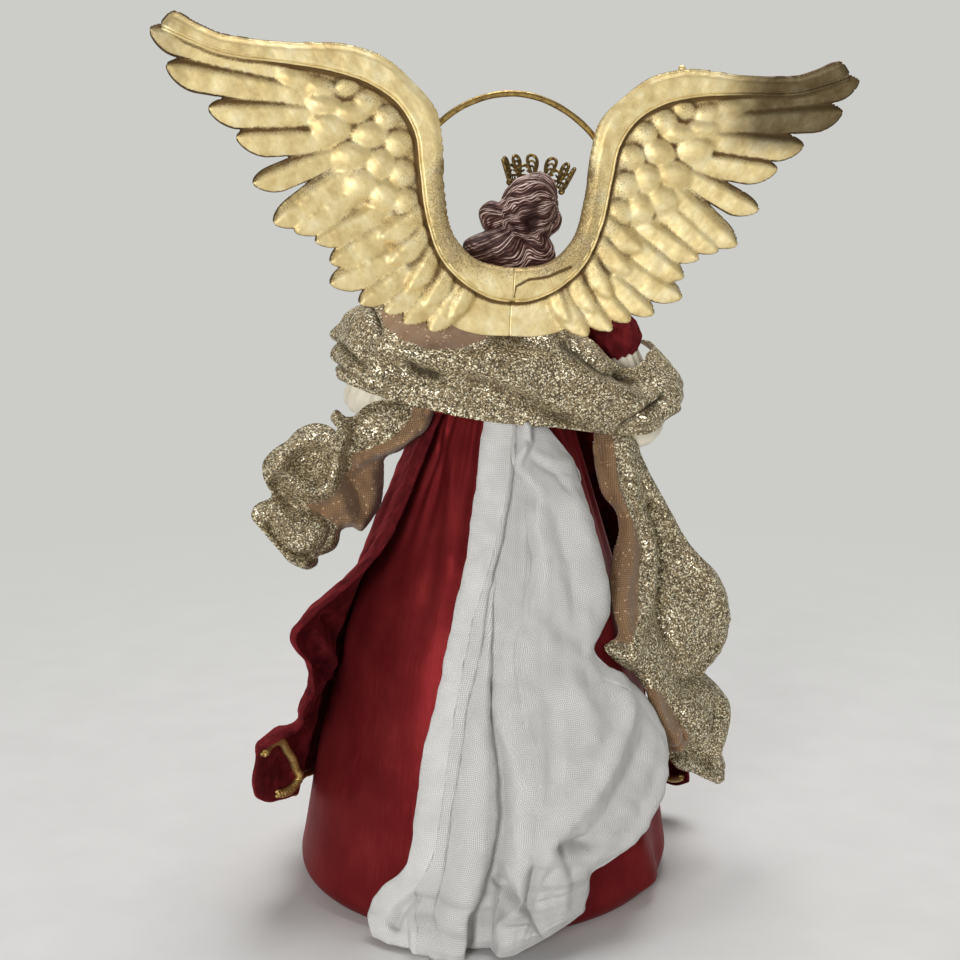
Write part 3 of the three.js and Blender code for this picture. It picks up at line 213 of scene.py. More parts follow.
def piece(name, mesh, materials, nodes=(), body="figure", uv=None, values=None, material_of=None):
    """A mesh of points and faces that rides on a body, with a slot's finish, in place of CAD nodes.

    values holds numbers for the materials, one for each point, by name.
    """
    verts, faces = mesh
    data = bpy.data.meshes.new(name)
    data.from_pydata((np.asarray(verts, float) * MM).tolist(), [], [list(map(int, f)) for f in faces])
    for material in materials:
        data.materials.append(material)
    if material_of is not None:
        data.polygons.foreach_set("material_index", np.asarray(material_of, np.int32))
    if uv is not None:
        corner = np.empty(len(data.loops), np.int32)
        data.loops.foreach_get("vertex_index", corner)
        data.uv_layers.new(name="weave").data.foreach_set("uv", np.asarray(uv, np.float32)[corner].ravel())
    for key, numbers in (values or {}).items():
        layer = data.attributes.new(key, "FLOAT", "POINT")
        layer.data.foreach_set("value", np.asarray(numbers, np.float32).ravel())
    shell = bmesh.new()
    shell.from_mesh(data)
    bmesh.ops.recalc_face_normals(shell, faces=shell.faces)
    shell.to_mesh(data)
    shell.free()
    data.polygons.foreach_set("use_smooth", np.ones(len(data.polygons), bool))
    obj = bpy.data.objects.new(name, data)
    bpy.context.scene.collection.objects.link(obj)
    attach(obj, body)
    if nodes:
        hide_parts(*nodes)
    return obj


def grid_faces(rows, columns, start=0, wrap=False, loop=False):
    """Quads of a grid of points; wrap joins the last column to the first, and loop the last row to the first."""
    k = start + np.arange(rows * columns).reshape(rows, columns)
    if loop:
        k = np.concatenate([k, k[:1]])
    if wrap:
        k = np.concatenate([k, k[:, :1]], axis=1)
    return np.stack([k[:-1, :-1], k[1:, :-1], k[1:, 1:], k[:-1, 1:]], -1).reshape(-1, 4)


def closed_faces(rows, columns, step=1):
    """Faces of a grid wrapped round and closed at both ends; step is -1 where its rings turn the other way."""
    ends = [list(range(columns))[::step], list(range((rows - 1) * columns, rows * columns))[::-step]]
    return [list(f) for f in grid_faces(rows, columns, 0, True)] + ends


def cloth(name, grid, thick, materials, node, flip=False, values=None, mark=None, straight=0):
    """A sheet of cloth round a grid of points: two faces and a rim. The second material is the reverse.

    The weave runs straight along the column at the share called straight.
    """
    g = np.asarray(grid, float)
    rows, columns = g.shape[:2]
    n = normals(g) * (-1 if flip else 1)
    verts = np.concatenate([(g + n * thick / 2).reshape(-1, 3), (g - n * thick / 2).reshape(-1, 3)])
    front = grid_faces(rows, columns)
    back = grid_faces(rows, columns, rows * columns)[:, ::-1]
    k = np.arange(rows * columns).reshape(rows, columns)
    edge = np.concatenate([k[0, :-1], k[:-1, -1], k[-1, :0:-1], k[:0:-1, 0]])
    after = np.roll(edge, -1)
    rim = np.stack([edge, after, after + rows * columns, edge + rows * columns], -1)
    u, v = np.zeros((rows, columns)), np.zeros((rows, columns))
    u[:, 1:] = np.cumsum(np.linalg.norm(np.diff(g, axis=1), axis=-1), 1)
    v[1:] = np.cumsum(np.linalg.norm(np.diff(g, axis=0), axis=-1), 0)
    column = round(straight * (columns - 1))
    uv = np.stack([u - u[:, column:column + 1], v], -1).reshape(-1, 2)
    kinds = np.array([0] * len(front) + [len(materials) - 1] * len(back) + [0] * len(rim))
    if mark is not None:
        kinds[:len(front)] = np.ravel(mark)[front].mean(1) > 0.5
    doubled = {key: np.concatenate([np.ravel(numbers)] * 2) for key, numbers in (values or {}).items()}
    mesh = verts, np.concatenate([front, back, rim])
    return piece(name, mesh, materials, [node], uv=np.concatenate([uv, uv]), values=doubled, material_of=kinds)


def path_way(path, closed):
    return unit(np.roll(path, -1, 0) - np.roll(path, 1, 0) if closed else np.gradient(path, axis=0))


def tube_mesh(path, radius, sides, closed=False):
    """Points and faces of a round tube along a path; radius may differ from point to point."""
    path = np.asarray(path, float)
    count = len(path)
    way = path_way(path, closed)
    side = np.cross(way[0], TUBE_OFF)
    a = TURN * np.arange(sides) / sides
    rings = []
    for spot, r, w in zip(path, np.broadcast_to(np.asarray(radius, float), (count,)), way):
        side = unit(side - w * (side @ w))
        rings.append(spot + r * around(a, side, np.cross(w, side)))
    if closed:
        return np.concatenate(rings), grid_faces(count, sides, 0, True, True).tolist()
    return np.concatenate(rings), closed_faces(count, sides, -1)


def cord_mesh(path, strand, reach, pitch, count, closed=False):
    """A cord of twisted strands along a path: points and faces."""
    path = np.asarray(path, float)
    length = np.concatenate([[0], np.cumsum(np.linalg.norm(np.diff(path, axis=0), axis=1))])
    total = length[-1] + (np.linalg.norm(path[0] - path[-1]) if closed else 0)
    turns = max(1, round(total / pitch))
    way = path_way(path, closed)
    side = unit(np.cross(way, CORD_OFF))
    other = np.cross(way, side)
    parts = []
    for k in range(count):
        a = TURN * (turns * length / total + k / count)
        parts.append(tube_mesh(path + reach * around(a, side, other), strand, 6, closed))
    return gather(parts)


def gather(parts):
    """Several meshes of points and faces as one."""
    verts, faces, start = [], [], 0
    for v, f in parts:
        verts.append(v)
        faces += [[i + start for i in face] for face in f]
        start += len(v)
    return np.concatenate(verts), faces


def directions(rows, columns):
    """Directions from a centre, from straight up to straight down."""
    up, bearing = spans(rows, columns, 0.03, math.pi - 0.03)
    return np.stack([np.sin(up) * np.sin(bearing), np.sin(up) * np.cos(bearing), np.cos(up)], -1)


def limb(start, end, profile, sides, pleats, depth, seed):
    """A gathered sleeve or limb: radius by share of its length, with pleats that run along it."""
    start, end = np.asarray(start, float), np.asarray(end, float)
    way = unit(end - start)
    side = unit(np.cross(way, LIMB_OFF))
    t, a = spans(56, sides)
    out = around(a, side, np.cross(way, side))
    r = table(profile, t)
    r = r + depth * np.cos(pleats * a + 1.6 * np.sin(2 * a + 3 * t) + seed) * np.sin(math.pi * t) ** 0.5
    p = start + (end - start) * t[..., None] + r[..., None] * out
    p = p + 0.35 * wobble(p, 8, seed)[..., None] * out
    return p.reshape(-1, 3), closed_faces(*t.shape)


# Materials
class Wire:
    """An output of a node. Sums and products of wires add math nodes."""

    def __init__(self, shade, socket):
        self.shade = shade
        self.socket = socket

    def __add__(self, other):
        return self.shade.math("ADD", self, other)

    def __sub__(self, other):
        return self.shade.math("SUBTRACT", self, other)

    def __mul__(self, other):
        return self.shade.math("MULTIPLY", self, other)


class Shade:
    """A node material: a Principled shader and the few nodes that feed it."""

    def __init__(self, name, **sockets):
        self.material = bpy.data.materials.new(name)
        self.material.use_nodes = True
        self.tree = self.material.node_tree
        self.shader = self.tree.nodes["Principled BSDF"]
        for key, value in sockets.items():
            self.shader.inputs[key.replace("_", " ")].default_value = value

    def node(self, kind, **settings):
        node = self.tree.nodes.new(kind)
        for key, value in settings.items():
            setattr(node, key, value)
        return node

    def put(self, value, socket):
        if isinstance(value, Wire):
            self.tree.links.new(value.socket, socket)
        else:
            socket.default_value = value

    def feed(self, node, *values):
        """Values into a node's first sockets, and its first output."""
        for value, socket in zip(values, node.inputs):
            self.put(value, socket)
        return Wire(self, node.outputs[0])

    def place(self):
        return Wire(self, self.node("ShaderNodeTexCoord").outputs["Object"])

    def weave_axes(self):
        split = self.node("ShaderNodeSeparateXYZ")
        self.feed(split, Wire(self, self.node("ShaderNodeUVMap", uv_map="weave").outputs["UV"]))
        return Wire(self, split.outputs["X"]), Wire(self, split.outputs["Y"])

    def noise(self, size_mm, detail=3.0, rough=0.55, at=None):
        node = self.node("ShaderNodeTexNoise")
        node.inputs["Scale"].default_value = 1 / (size_mm * MM)
        node.inputs["Detail"].default_value = detail
        node.inputs["Roughness"].default_value = rough
        self.put(at or self.place(), node.inputs["Vector"])
        return Wire(self, node.outputs["Fac"])

    def cells(self, size_mm, output="Color"):
        node = self.node("ShaderNodeTexVoronoi")
        node.inputs["Scale"].default_value = 1 / (size_mm * MM)
        self.put(self.place(), node.inputs["Vector"])
        return Wire(self, node.outputs[output])

    def cell_values(self, size_mm):
        """Three numbers drawn for each cell."""
        split = self.node("ShaderNodeSeparateColor")
        self.feed(split, self.cells(size_mm))
        return [Wire(self, socket) for socket in split.outputs]

    def value(self, name):
        return Wire(self, self.node("ShaderNodeAttribute", attribute_name=name).outputs["Fac"])

    def math(self, operation, a, b=0.0, c=0.0):
        return self.feed(self.node("ShaderNodeMath", operation=operation), a, b, c)

    def step(self, x, low, high, to_low=0.0, to_high=1.0):
        node = self.node("ShaderNodeMapRange", interpolation_type="SMOOTHSTEP")
        return self.feed(node, x, low, high, to_low, to_high)

    def ramp(self, x, *stops):
        node = self.node("ShaderNodeValToRGB")
        elements = node.color_ramp.elements
        while len(elements) < len(stops):
            elements.new(0.5)
        for element, (place, colour) in zip(elements, stops):
            element.position = place
            element.color = (*colour, 1)
        return self.feed(node, x)

    def mottle(self, size_mm, dark, light, detail=3.0, rough=0.55):
        return self.ramp(self.noise(size_mm, detail, rough), (0.3, dark), (0.7, light))

    def blend(self, share, a, b):
        node = self.node("ShaderNodeMix", data_type="RGBA")
        self.put(share, node.inputs["Factor"])
        for value, socket in zip((a, b), (s for s in node.inputs if s.type == "RGBA")):
            self.put(value if isinstance(value, Wire) else (*value, 1), socket)
        return Wire(self, [s for s in node.outputs if s.type == "RGBA"][0])

    def link(self, name, value):
        self.put(value, self.shader.inputs[name])

    def colour(self, value):
        self.link("Base Color", value)

    def bump(self, height, depth_mm, strength=1.0):
        node = self.node("ShaderNodeBump")
        node.inputs["Strength"].default_value = strength
        node.inputs["Distance"].default_value = depth_mm * MM
        self.put(height, node.inputs["Height"])
        before = self.shader.inputs["Normal"].links
        if before:
            self.put(Wire(self, before[0].from_socket), node.inputs["Normal"])
        self.put(Wire(self, node.outputs[0]), self.shader.inputs["Normal"])
        return self


def threads(s, pitch_mm, slub=0.35):
    """Plain weave from the weave map: a height that is high on the threads, and one that is low in the holes."""
    u, v = s.weave_axes()
    pace = TURN / pitch_mm
    drift = (s.noise(9, 2) - 0.5) * (pitch_mm * 2.2)
    warp = s.math("SINE", (u + drift) * pace)
    weft = s.math("SINE", (v + drift) * pace)
    holes = s.step(warp, -0.95, -0.1) * s.step(weft, -0.95, -0.1)
    return warp * 0.5 + weft * 0.5 + s.noise(2.2, 2) * slub, holes


def gilt():
    s = Shade("gilt_resin", Roughness=0.46, Metallic=0.72)
    leaf, fine = s.noise(9, 4, 0.6), s.noise(0.7, 3, 0.65)
    gold = s.ramp(leaf, (0.30, (0.70, 0.52, 0.23)), (0.52, (0.87, 0.71, 0.37)), (0.72, (0.98, 0.87, 0.56)))
    speck = s.step(fine + s.value("hollow") * 0.22, 0.60, 0.74)
    gold = s.blend(speck * 0.45, gold, (0.34, 0.21, 0.07))
    # the hollow value darkens the gold with patina in the hollows and with painted shade on the feathers' flanks, the
    # coverts and beside the bead
    dirt_and_shade = s.step(s.value("hollow") + (leaf - 0.5) * 0.6 + (fine - 0.5) * 0.7, 0.22, 1.05)
    gold = s.blend(dirt_and_shade, gold, (0.17, 0.10, 0.035))
    # painted shade: the right wing's outer feathers darken where they turn from the light, and the left wing's tip
    # darkens too
    gold = s.blend(s.value("shade") * s.step(leaf, 0.2, 0.8, 1.0, 0.85), gold, (0.105, 0.069, 0.027))
    edge = s.step(s.value("rim") + fine * 0.6, 0.85, 1.35)
    s.colour(s.blend(edge, gold, (0.10, 0.055, 0.022)))
    s.link("Roughness", s.step(dirt_and_shade + fine * 0.4, 0.0, 1.3, 0.54, 0.74))
    s.bump(s.noise(3.2, 4, 0.65), 0.35, 0.4)
    return s.bump(fine, 0.10, 0.6).material


def brass(name, bright, dark, rough):
    s = Shade(name, Roughness=rough, Metallic=0.95)
    tarnish = s.noise(2.5, 4, 0.6)
    s.colour(s.ramp(tarnish, (0.35, dark), (0.62, bright)))
    s.link("Roughness", s.step(tarnish, 0.3, 0.7, rough + 0.18, rough - 0.08))
    return s.bump(s.noise(0.6, 2), 0.05, 0.4).material


def satin():
    s = Shade("burgundy_satin", Roughness=0.5, Metallic=0.3, Specular_IOR_Level=0.08,
              Specular_Tint=(0.80, 0.16, 0.14, 1))
    u, v = s.weave_axes()
    stretch = s.feed(s.node("ShaderNodeCombineXYZ"), u * 2.2, v * 0.06)
    slub = s.noise(1000, 2, 0.5, stretch)
    tone = slub * 0.35 + s.noise(26, 3) * 0.65
    s.colour(s.ramp(tone, (0.3, (0.105, 0.008, 0.010)), (0.5, (0.150, 0.013, 0.015)), (0.7, (0.205, 0.022, 0.022))))
    s.link("Roughness", s.step(slub, 0.3, 0.7, 0.36, 0.48))
    s.bump(slub, 0.10, 0.35)
    return s.bump(s.noise(5.5, 3), 0.5, 0.25).material


def velvet():
    s = Shade("burgundy_velvet", Roughness=0.9, Sheen_Weight=0.45, Sheen_Roughness=0.3, Specular_IOR_Level=0.08,
              Sheen_Tint=(0.80, 0.10, 0.11, 1))
    nap = s.noise(6, 3, 0.6)
    s.colour(s.ramp(nap, (0.32, (0.060, 0.005, 0.007)), (0.55, (0.125, 0.010, 0.013)), (0.75, (0.20, 0.018, 0.021))))
    s.bump(nap, 0.6, 0.35)
    return s.bump(s.noise(0.5, 2), 0.35, 0.8).material


def linen():
    s = Shade("white_linen", Roughness=0.85, Sheen_Weight=0.25, Sheen_Roughness=0.6, Specular_IOR_Level=0.2)
    height, holes = threads(s, 0.9)
    thread = s.mottle(16, (0.70, 0.685, 0.665), (0.85, 0.835, 0.815))
    seen = s.math("MAXIMUM", holes, s.value("double") * 0.45)
    s.colour(s.blend(seen, (0.46, 0.448, 0.44), thread))
    return s.bump(height, 0.22, 0.7).material


def glitter():
    s = Shade("glitter_cloth", Roughness=0.5, Metallic=0.3, Specular_IOR_Level=0.6)
    bright, dull, lie = s.cell_values(0.62)
    flash, dark = s.step(bright, 0.70, 0.88), s.step(dull, 0.30, 0.75)
    ground = s.mottle(14, (0.27, 0.195, 0.095), (0.38, 0.285, 0.15))
    ground = s.blend(dark * 0.95, ground, (0.045, 0.030, 0.012))
    shown = s.blend(flash, ground, (1.0, 0.92, 0.68))
    # painted shade: the deep value darkens the glitter in the valleys of the folds
    s.colour(s.blend(s.value("deep") * 0.8, shown, (0.05, 0.033, 0.014)))
    s.link("Metallic", s.step(flash, 0.0, 1.0, 0.1, 0.55))
    s.link("Roughness", s.step(flash, 0.0, 1.0, 0.7, 0.38))
    return s.bump(lie, 0.3, 0.6).material


def copper_weave():
    s = Shade("copper_weave", Roughness=0.6, Metallic=0.15, Sheen_Weight=0.3, Specular_IOR_Level=0.4)
    height, holes = threads(s, 0.8, 0.5)
    glint = s.step(s.cell_values(0.8)[0], 0.95, 1.0)
    thread = s.mottle(10, (0.30, 0.165, 0.070), (0.44, 0.265, 0.130))
    thread = s.blend(holes, (0.17, 0.09, 0.04), thread)
    s.colour(s.blend(glint, thread, (0.70, 0.50, 0.29)))
    return s.bump(height, 0.25, 0.6).material


def cream():
    s = Shade("cream_satin", Roughness=0.5, Sheen_Weight=0.3, Sheen_Roughness=0.5, Specular_IOR_Level=0.4)
    s.colour(s.mottle(12, (0.66, 0.58, 0.44), (0.82, 0.76, 0.63)))
    s.bump(s.noise(4, 3), 0.4, 0.3)
    return s.bump(s.cells(0.5, "Distance"), 0.10, 0.5).material


def skin():
    s = Shade("painted_skin", Roughness=0.45, Subsurface_Weight=0.08, Specular_IOR_Level=0.4,
              Subsurface_Radius=(0.002, 0.001, 0.0006))
    base = s.mottle(8, (0.70, 0.43, 0.30), (0.78, 0.51, 0.37))
    base = s.blend(s.value("blush") * 0.55, base, (0.72, 0.27, 0.22))
    s.colour(s.blend(s.value("lip") * 0.9, base, (0.50, 0.09, 0.09)))
    return s.bump(s.noise(0.7, 2), 0.04, 0.4).material


def painted_hair():
    s = Shade("painted_hair", Roughness=0.6, Specular_IOR_Level=0.25)
    patch = s.noise(5, 4, 0.6)
    deep = s.ramp(patch, (0.3, (0.016, 0.005, 0.005)), (0.7, (0.055, 0.018, 0.015)))
    rub = s.value("ridge") + (patch - 0.5) * 0.7
    mid = s.blend(s.step(rub, 0.3, 0.65), deep, (0.17, 0.075, 0.057))
    s.colour(s.blend(s.step(rub, 0.55, 0.85), mid, (0.78, 0.62, 0.56)))
    return s.bump(s.noise(0.9, 3), 0.15, 0.5).material


def trim():
    s = Shade("gold_trim", Roughness=0.42, Metallic=0.8)
    thread = s.noise(0.9, 3)
    s.colour(s.ramp(thread, (0.3, (0.30, 0.18, 0.05)), (0.55, (0.58, 0.40, 0.14)), (0.75, (0.86, 0.68, 0.34))))
    return s.bump(s.noise(0.4, 2), 0.12, 0.7).material


def card():
    s = Shade("card", Roughness=0.85, Specular_IOR_Level=0.2)
    s.colour(s.mottle(1.2, (0.30, 0.21, 0.125), (0.40, 0.29, 0.185), 4, 0.65))
    return s.bump(s.noise(0.6, 3), 0.10, 0.5).material


def wood():
    s = Shade("wood", Roughness=0.6, Specular_IOR_Level=0.3)
    stretch = s.node("ShaderNodeMapping")
    stretch.inputs["Scale"].default_value = (1, 1, 0.12)
    grain = s.noise(1.1, 5, 0.6, s.feed(stretch, s.place()))
    s.colour(s.ramp(grain, (0.35, (0.36, 0.22, 0.10)), (0.65, (0.56, 0.38, 0.20))))
    return s.bump(grain, 0.15, 0.4).material


def steel():
    s = Shade("steel_wire", Roughness=0.35, Metallic=1.0)
    dull = s.noise(1.5, 3)
    s.colour(s.ramp(dull, (0.3, (0.25, 0.25, 0.26)), (0.7, (0.46, 0.46, 0.47))))
    s.link("Roughness", s.step(dull, 0.3, 0.7, 0.5, 0.28))
    return s.bump(s.noise(0.4, 2), 0.04, 0.3).material


GILT = gilt()
HALO_BRASS = brass("halo_brass", (0.52, 0.36, 0.12), (0.22, 0.13, 0.04), 0.34)
TIARA_BRASS = brass("tiara_brass", (0.29, 0.19, 0.065), (0.07, 0.042, 0.015), 0.38)
SATIN = satin()
VELVET = velvet()
LINEN = linen()
GLITTER = glitter()
COPPER = copper_weave()
CREAM = cream()
SKIN = skin()
HAIR = painted_hair()
TRIM = trim()
CARD = card()
WOOD = wood()
STEEL = steel()

# Camera at the photograph's place, floor and soft light, in metres
AIM = Vector((-9.5, 0, 200)) * MM
VIEW_TURN, VIEW_RISE = math.radians(-12), math.radians(10)
VIEW_FAR = 0.76
SENSOR_MM = 36
FOCAL_PX, PICTURE_PX = 1527, 960
BACKDROP = (0.605, 0.61, 0.583, 1)
ZENITH = (0.13, 0.133, 0.135, 1)
FLOOR_R, FLOOR_SIDES, FLOOR_DROP = 9, 64, 0.0004
FADE_FROM, FADE_TO = 0.26, 0.9
# Place, power in watts and size
LAMPS = {"key": ((-0.85, -1.4, 0.42), 14, 0.4), "fill": ((1.3, -1.3, 0.5), 1.0, 1.0),
         "top": ((0.15, 0.3, 1.7), 18, 1.0)}
LAMP_AIM = Vector((0, 0, 0.2))


def view():
    back = Vector((math.sin(VIEW_TURN) * math.cos(VIEW_RISE), -math.cos(VIEW_TURN) * math.cos(VIEW_RISE),
                   math.sin(VIEW_RISE)))
    camera = bpy.data.objects.new("camera", bpy.data.cameras.new("camera"))
    camera.data.sensor_width = SENSOR_MM
    camera.data.lens = SENSOR_MM * FOCAL_PX / PICTURE_PX
    camera.data.clip_start = 0.01
    camera.location = AIM + back * VIEW_FAR
    camera.rotation_euler = (-back).to_track_quat("-Z", "Y").to_euler()
    bpy.context.scene.collection.objects.link(camera)
    bpy.context.scene.camera = camera


def floor():
    """A pale floor that fades into the backdrop's own tone away from the figure."""
    s = Shade("pale_floor", Roughness=0.6, Emission_Color=BACKDROP)
    length = s.node("ShaderNodeVectorMath", operation="LENGTH")
    s.feed(length, s.place())
    far = Wire(s, length.outputs["Value"])
    faded = s.step(far, FADE_FROM, FADE_TO)
    near = s.mottle(40, (0.80, 0.79, 0.775), (0.84, 0.83, 0.815), 4)
    s.colour(s.blend(faded, near, (0, 0, 0)))
    s.link("Specular IOR Level", s.step(far, FADE_FROM, FADE_TO, 0.3, 0.0))
    s.link("Emission Strength", faded)
    s.bump(s.noise(3, 2), 0.05, 0.2)
    mesh = bpy.data.meshes.new("floor")
    angles = np.arange(FLOOR_SIDES) * TURN / FLOOR_SIDES
    rim = [(FLOOR_R * math.cos(a), FLOOR_R * math.sin(a), 0) for a in angles]
    mesh.from_pydata([(0, 0, 0)] + rim, [], [[0, 1 + k, 1 + (k + 1) % FLOOR_SIDES] for k in range(FLOOR_SIDES)])
    mesh.materials.append(s.material)
    obj = bpy.data.objects.new("floor", mesh)
    obj.location.z = -FLOOR_DROP
    bpy.context.scene.collection.objects.link(obj)


def studio():
    for name, (place, power, size) in LAMPS.items():
        data = bpy.data.lights.new(name, "AREA")
        data.energy = power
        data.size = size
        obj = bpy.data.objects.new(name, data)
        obj.location = place
        obj.rotation_euler = (LAMP_AIM - Vector(place)).to_track_quat("-Z", "Y").to_euler()
        bpy.context.scene.collection.objects.link(obj)
    world = bpy.data.worlds.new("studio")
    world.use_nodes = True
    nodes, links = world.node_tree.nodes, world.node_tree.links
    split = nodes.new("ShaderNodeSeparateXYZ")
    sky = nodes.new("ShaderNodeValToRGB")
    for element, place, colour in zip(sky.color_ramp.elements, (0.14, 0.65), (BACKDROP, ZENITH)):
        element.position = place
        element.color = colour
    links.new(nodes.new("ShaderNodeTexCoord").outputs["Generated"], split.inputs[0])
    links.new(split.outputs["Z"], sky.inputs[0])
    links.new(sky.outputs[0], nodes["Background"].inputs[0])
    bpy.context.scene.world = world
    bpy.context.scene.view_settings.view_transform = "Standard"


view()
floor()
studio()


# Skirt surface
def axis_x(z):
    return BASE_X + LEAN * z


def skirt_radius(z):
    u = z / SKIRT_TOP_Z
    tuck = np.where(z < TUCK_H, TUCK_IN * (1 - z / TUCK_H) ** 2, 0)
    return WAIST_R + (HEM_R - WAIST_R) * (1 - u + BELL * np.sin(math.pi * u)) - tuck


def skirt_depth(z):
    return mix(1, WAIST_DEPTH_SHARE, smooth(z / SKIRT_TOP_Z, 0.5, 1))


def pleat(z, angle):
    u = z / SKIRT_TOP_Z
    return PLEAT_DEPTH * np.sin(math.pi * u) * u * np.cos(PLEATS * angle)


def round_axis(z, angle, r):
    return np.stack([axis_x(z) + np.sin(angle) * r, np.cos(angle) * r * skirt_depth(z), z + 0 * angle], -1)


def skirt_point(z, angle, off):
    """A point at a height and an angle from the front, set off from the satin."""
    return round_axis(z, angle, skirt_radius(z) + pleat(z, angle) + off)


def behind_skirt(x, z, off):
    """Depth of a cloth laid on the back of the skirt."""
    z = np.maximum(z, 0)
    reach = skirt_radius(z) + PLEAT_DEPTH + off
    return -np.sqrt(1 - np.clip((x - axis_x(z)) / reach, -1, 1) ** 2) * reach * skirt_depth(z)


# Folds of the satin: width, height and line
SATIN_FOLDS = [
    (4.5, -3.6, [(-33, 232), (-36, 205), (-43, 168), (-52, 130)]),
    (7, 2.4, [(-40, 226), (-47, 195), (-58, 150), (-70, 100)]), (5, 1.8, [(-28, 228), (-29, 200), (-34, 160)]),
    (7, 4.0, [(48, 40), (58, 20), (62, 6)]), (6, -2.0, [(68, 60), (72, 30), (74, 8)])]


def satin_radius(z, angle):
    """Radius of the satin with its folds, by height and angle from the front."""
    share = z / SKIRT_TOP_Z
    long_folds = np.cos(5 * angle + 0.8) + 0.8 * np.cos(9 * angle + 2.1) + 0.6 * np.cos(13 * angle + 0.3)
    gathers = np.cos(23 * angle + 2 * np.sin(3 * angle)) + 0.6 * np.cos(41 * angle + 1)
    off = 1.3 * long_folds * np.sin(math.pi * share) ** 0.8 * (0.35 + 0.65 * share) - 1.4
    off = off + 0.8 * gathers * smooth(share, 0.62, 0.97)
    off = off + 1.2 * np.cos(7 * angle + 1.2) * smooth(1 - share, 0.7, 0.95) * smooth(share, 0.0, 0.06)
    p = skirt_point(z, angle, off)
    return skirt_radius(z) + pleat(z, angle) + off + folds(p, SATIN_FOLDS) * smooth(-p[..., 1], 0, 20)


def satin_skirt():
    columns = 300
    u = np.concatenate([np.linspace(0, 0.06, 16)[:-1], np.linspace(0.06, 1, 95)])
    a = np.linspace(-math.pi, math.pi, columns, endpoint=False)
    z, angle = np.meshgrid(u * SKIRT_TOP_Z, a, indexing="ij")
    p = round_axis(z, angle, satin_radius(z, angle))
    p[..., 2] = np.maximum(z, 0.2)
    # the cloth turns in at the foot and at the waist
    foot = p[0] * [0.9, 0.9, 1] + [axis_x(0) * 0.1, 0, 1.5]
    waist = p[-1] * [1, 0.9, 1] + [0, 0, -6]
    waist[:, 0] = mix(axis_x(SKIRT_TOP_Z), waist[:, 0], 0.9)
    p = np.concatenate([foot[None], p, waist[None]])
    rows = len(p)
    inner = p - np.stack([np.sin(a), np.cos(a), 0 * a], -1) * SATIN_THICK
    verts = np.concatenate([p.reshape(-1, 3), inner.reshape(-1, 3)])
    count = rows * columns
    faces = [grid_faces(rows, columns, 0, True), grid_faces(rows, columns, count, True)[:, ::-1]]
    for edge in np.arange(count).reshape(rows, columns)[[0, -1]]:
        after = np.roll(edge, -1)
        faces.append(np.stack([edge, after, after + count, edge + count], -1))
    # the weave runs straight up, 70 mm to a radian
    uv = np.stack([np.broadcast_to(a * 70, (rows, columns)), p[..., 2]], -1).reshape(-1, 2)
    obj = piece("skirt_satin", (verts, np.concatenate(faces)), [SATIN],
                ["satin_skirt", "skirt_batting"], uv=np.concatenate([uv, uv]))


# Velvet overskirt: its hem by angle, and how far its two side edges stand off the satin by height
VELVET_LEFT, VELVET_RIGHT = -112.5, 78.75
VELVET_OFF = 2.0
VELVET_HEM = [
    (-112.5, 86), (-110, 76), (-107, 65), (-104, 54.5), (-101, 49), (-97, 46.5), (-85, 46), (-70, 44), (0, 34),
    (60, 27), (69, 20), (75, 18.5), (78.75, 23)]
LEFT_EDGE = [
    (80, 44), (86, 44), (88, 40), (90, 33), (92, 29.5), (97, 27), (104, 25.5), (112, 24.5), (121, 28), (130, 38),
    (136, 43), (142, 44), (149, 39), (159, 28), (172, 17), (190, 10), (210, 6), (224, 4), (240, 1)]
LEFT_LAP = 11
RIGHT_EDGE = [
    (16, 24), (24, 27), (34, 26), (42, 20), (50, 12), (60, 7), (80, 6), (110, 8), (150, 11), (190, 11), (220, 11.5),
    (232, 10.5), (240, 7)]
# The braid crosses the left corner on the inner face, as (angle, height, lift). A second length comes from the outer
# face, as (angle, rise over the hem, quarter turns), runs under the hem, and ends on the inner face at the right.
BRAID_CORNER = [
    (-111.5, 85.6, 0.4), (-110, 86, 1.4), (-108.4, 86, 1.6), (-106.7, 85.1, 1.6), (-104.4, 83.6, 1.4),
    (-102.6, 81.2, 0.8), (-99.7, 74, 0), (-97.4, 67, 0), (-95, 59, 0), (-94.4, 56, 0), (-95.1, 53.6, 0),
    (-96.8, 51.8, 0), (-98.5, 51.6, -0.4), (-99.8, 52.2, -1.2)]
BRAID_START = [(-98, 4, 2), (-96, 3.5, 2), (-94, 2, 1.85), (-91, 0.5, 1.5), (-87, 0, 1.2)]
BRAID_HEM = np.linspace(-84, 62, 68)
BRAID_END = [(64, 0, 0.6), (66, 0, 0.25), (69, 4, 0), (72, 4, 0), (75, 4, 0), (77.5, 4, 0)]
BRAID_OFF = 2.7
# Strand radius, distance from the cord's middle, pitch and number of strands
BRAID_STRANDS = (1.15, 1.1, 5.0, 3)
TIE_STRANDS = (0.62, 0.6, 5, 2)
TIE_R, TIE_DROP = 1.2, 3.4
TIE_BACK_OFF, TIE_FRONT_OFF = 3.6, VELVET_OFF + VELVET_THICK + PLEAT_DEPTH + 2 * TIE_R
# Ruffles of the left flap: width, height and line
RUFFLES = [
    (3.5, 4.5, [(-104, 143), (-97, 133), (-90, 119), (-85, 107)]), (3.5, -4, [(-92, 142), (-84, 129), (-79, 116)]),
    (2.2, -3.5, [(-98, 123), (-93, 112), (-90, 106)]), (3, 3.5, [(-101, 106), (-93, 108), (-86, 106)]),
    (2.4, -4, [(-89, 99), (-96, 88), (-102, 77)]), (4, 3, [(-103, 97), (-109, 85)]),
    (3.5, -3, [(-114, 74), (-110, 62), (-104, 56)]), (3, 2.5, [(-84, 96), (-91, 84), (-95, 70)])]


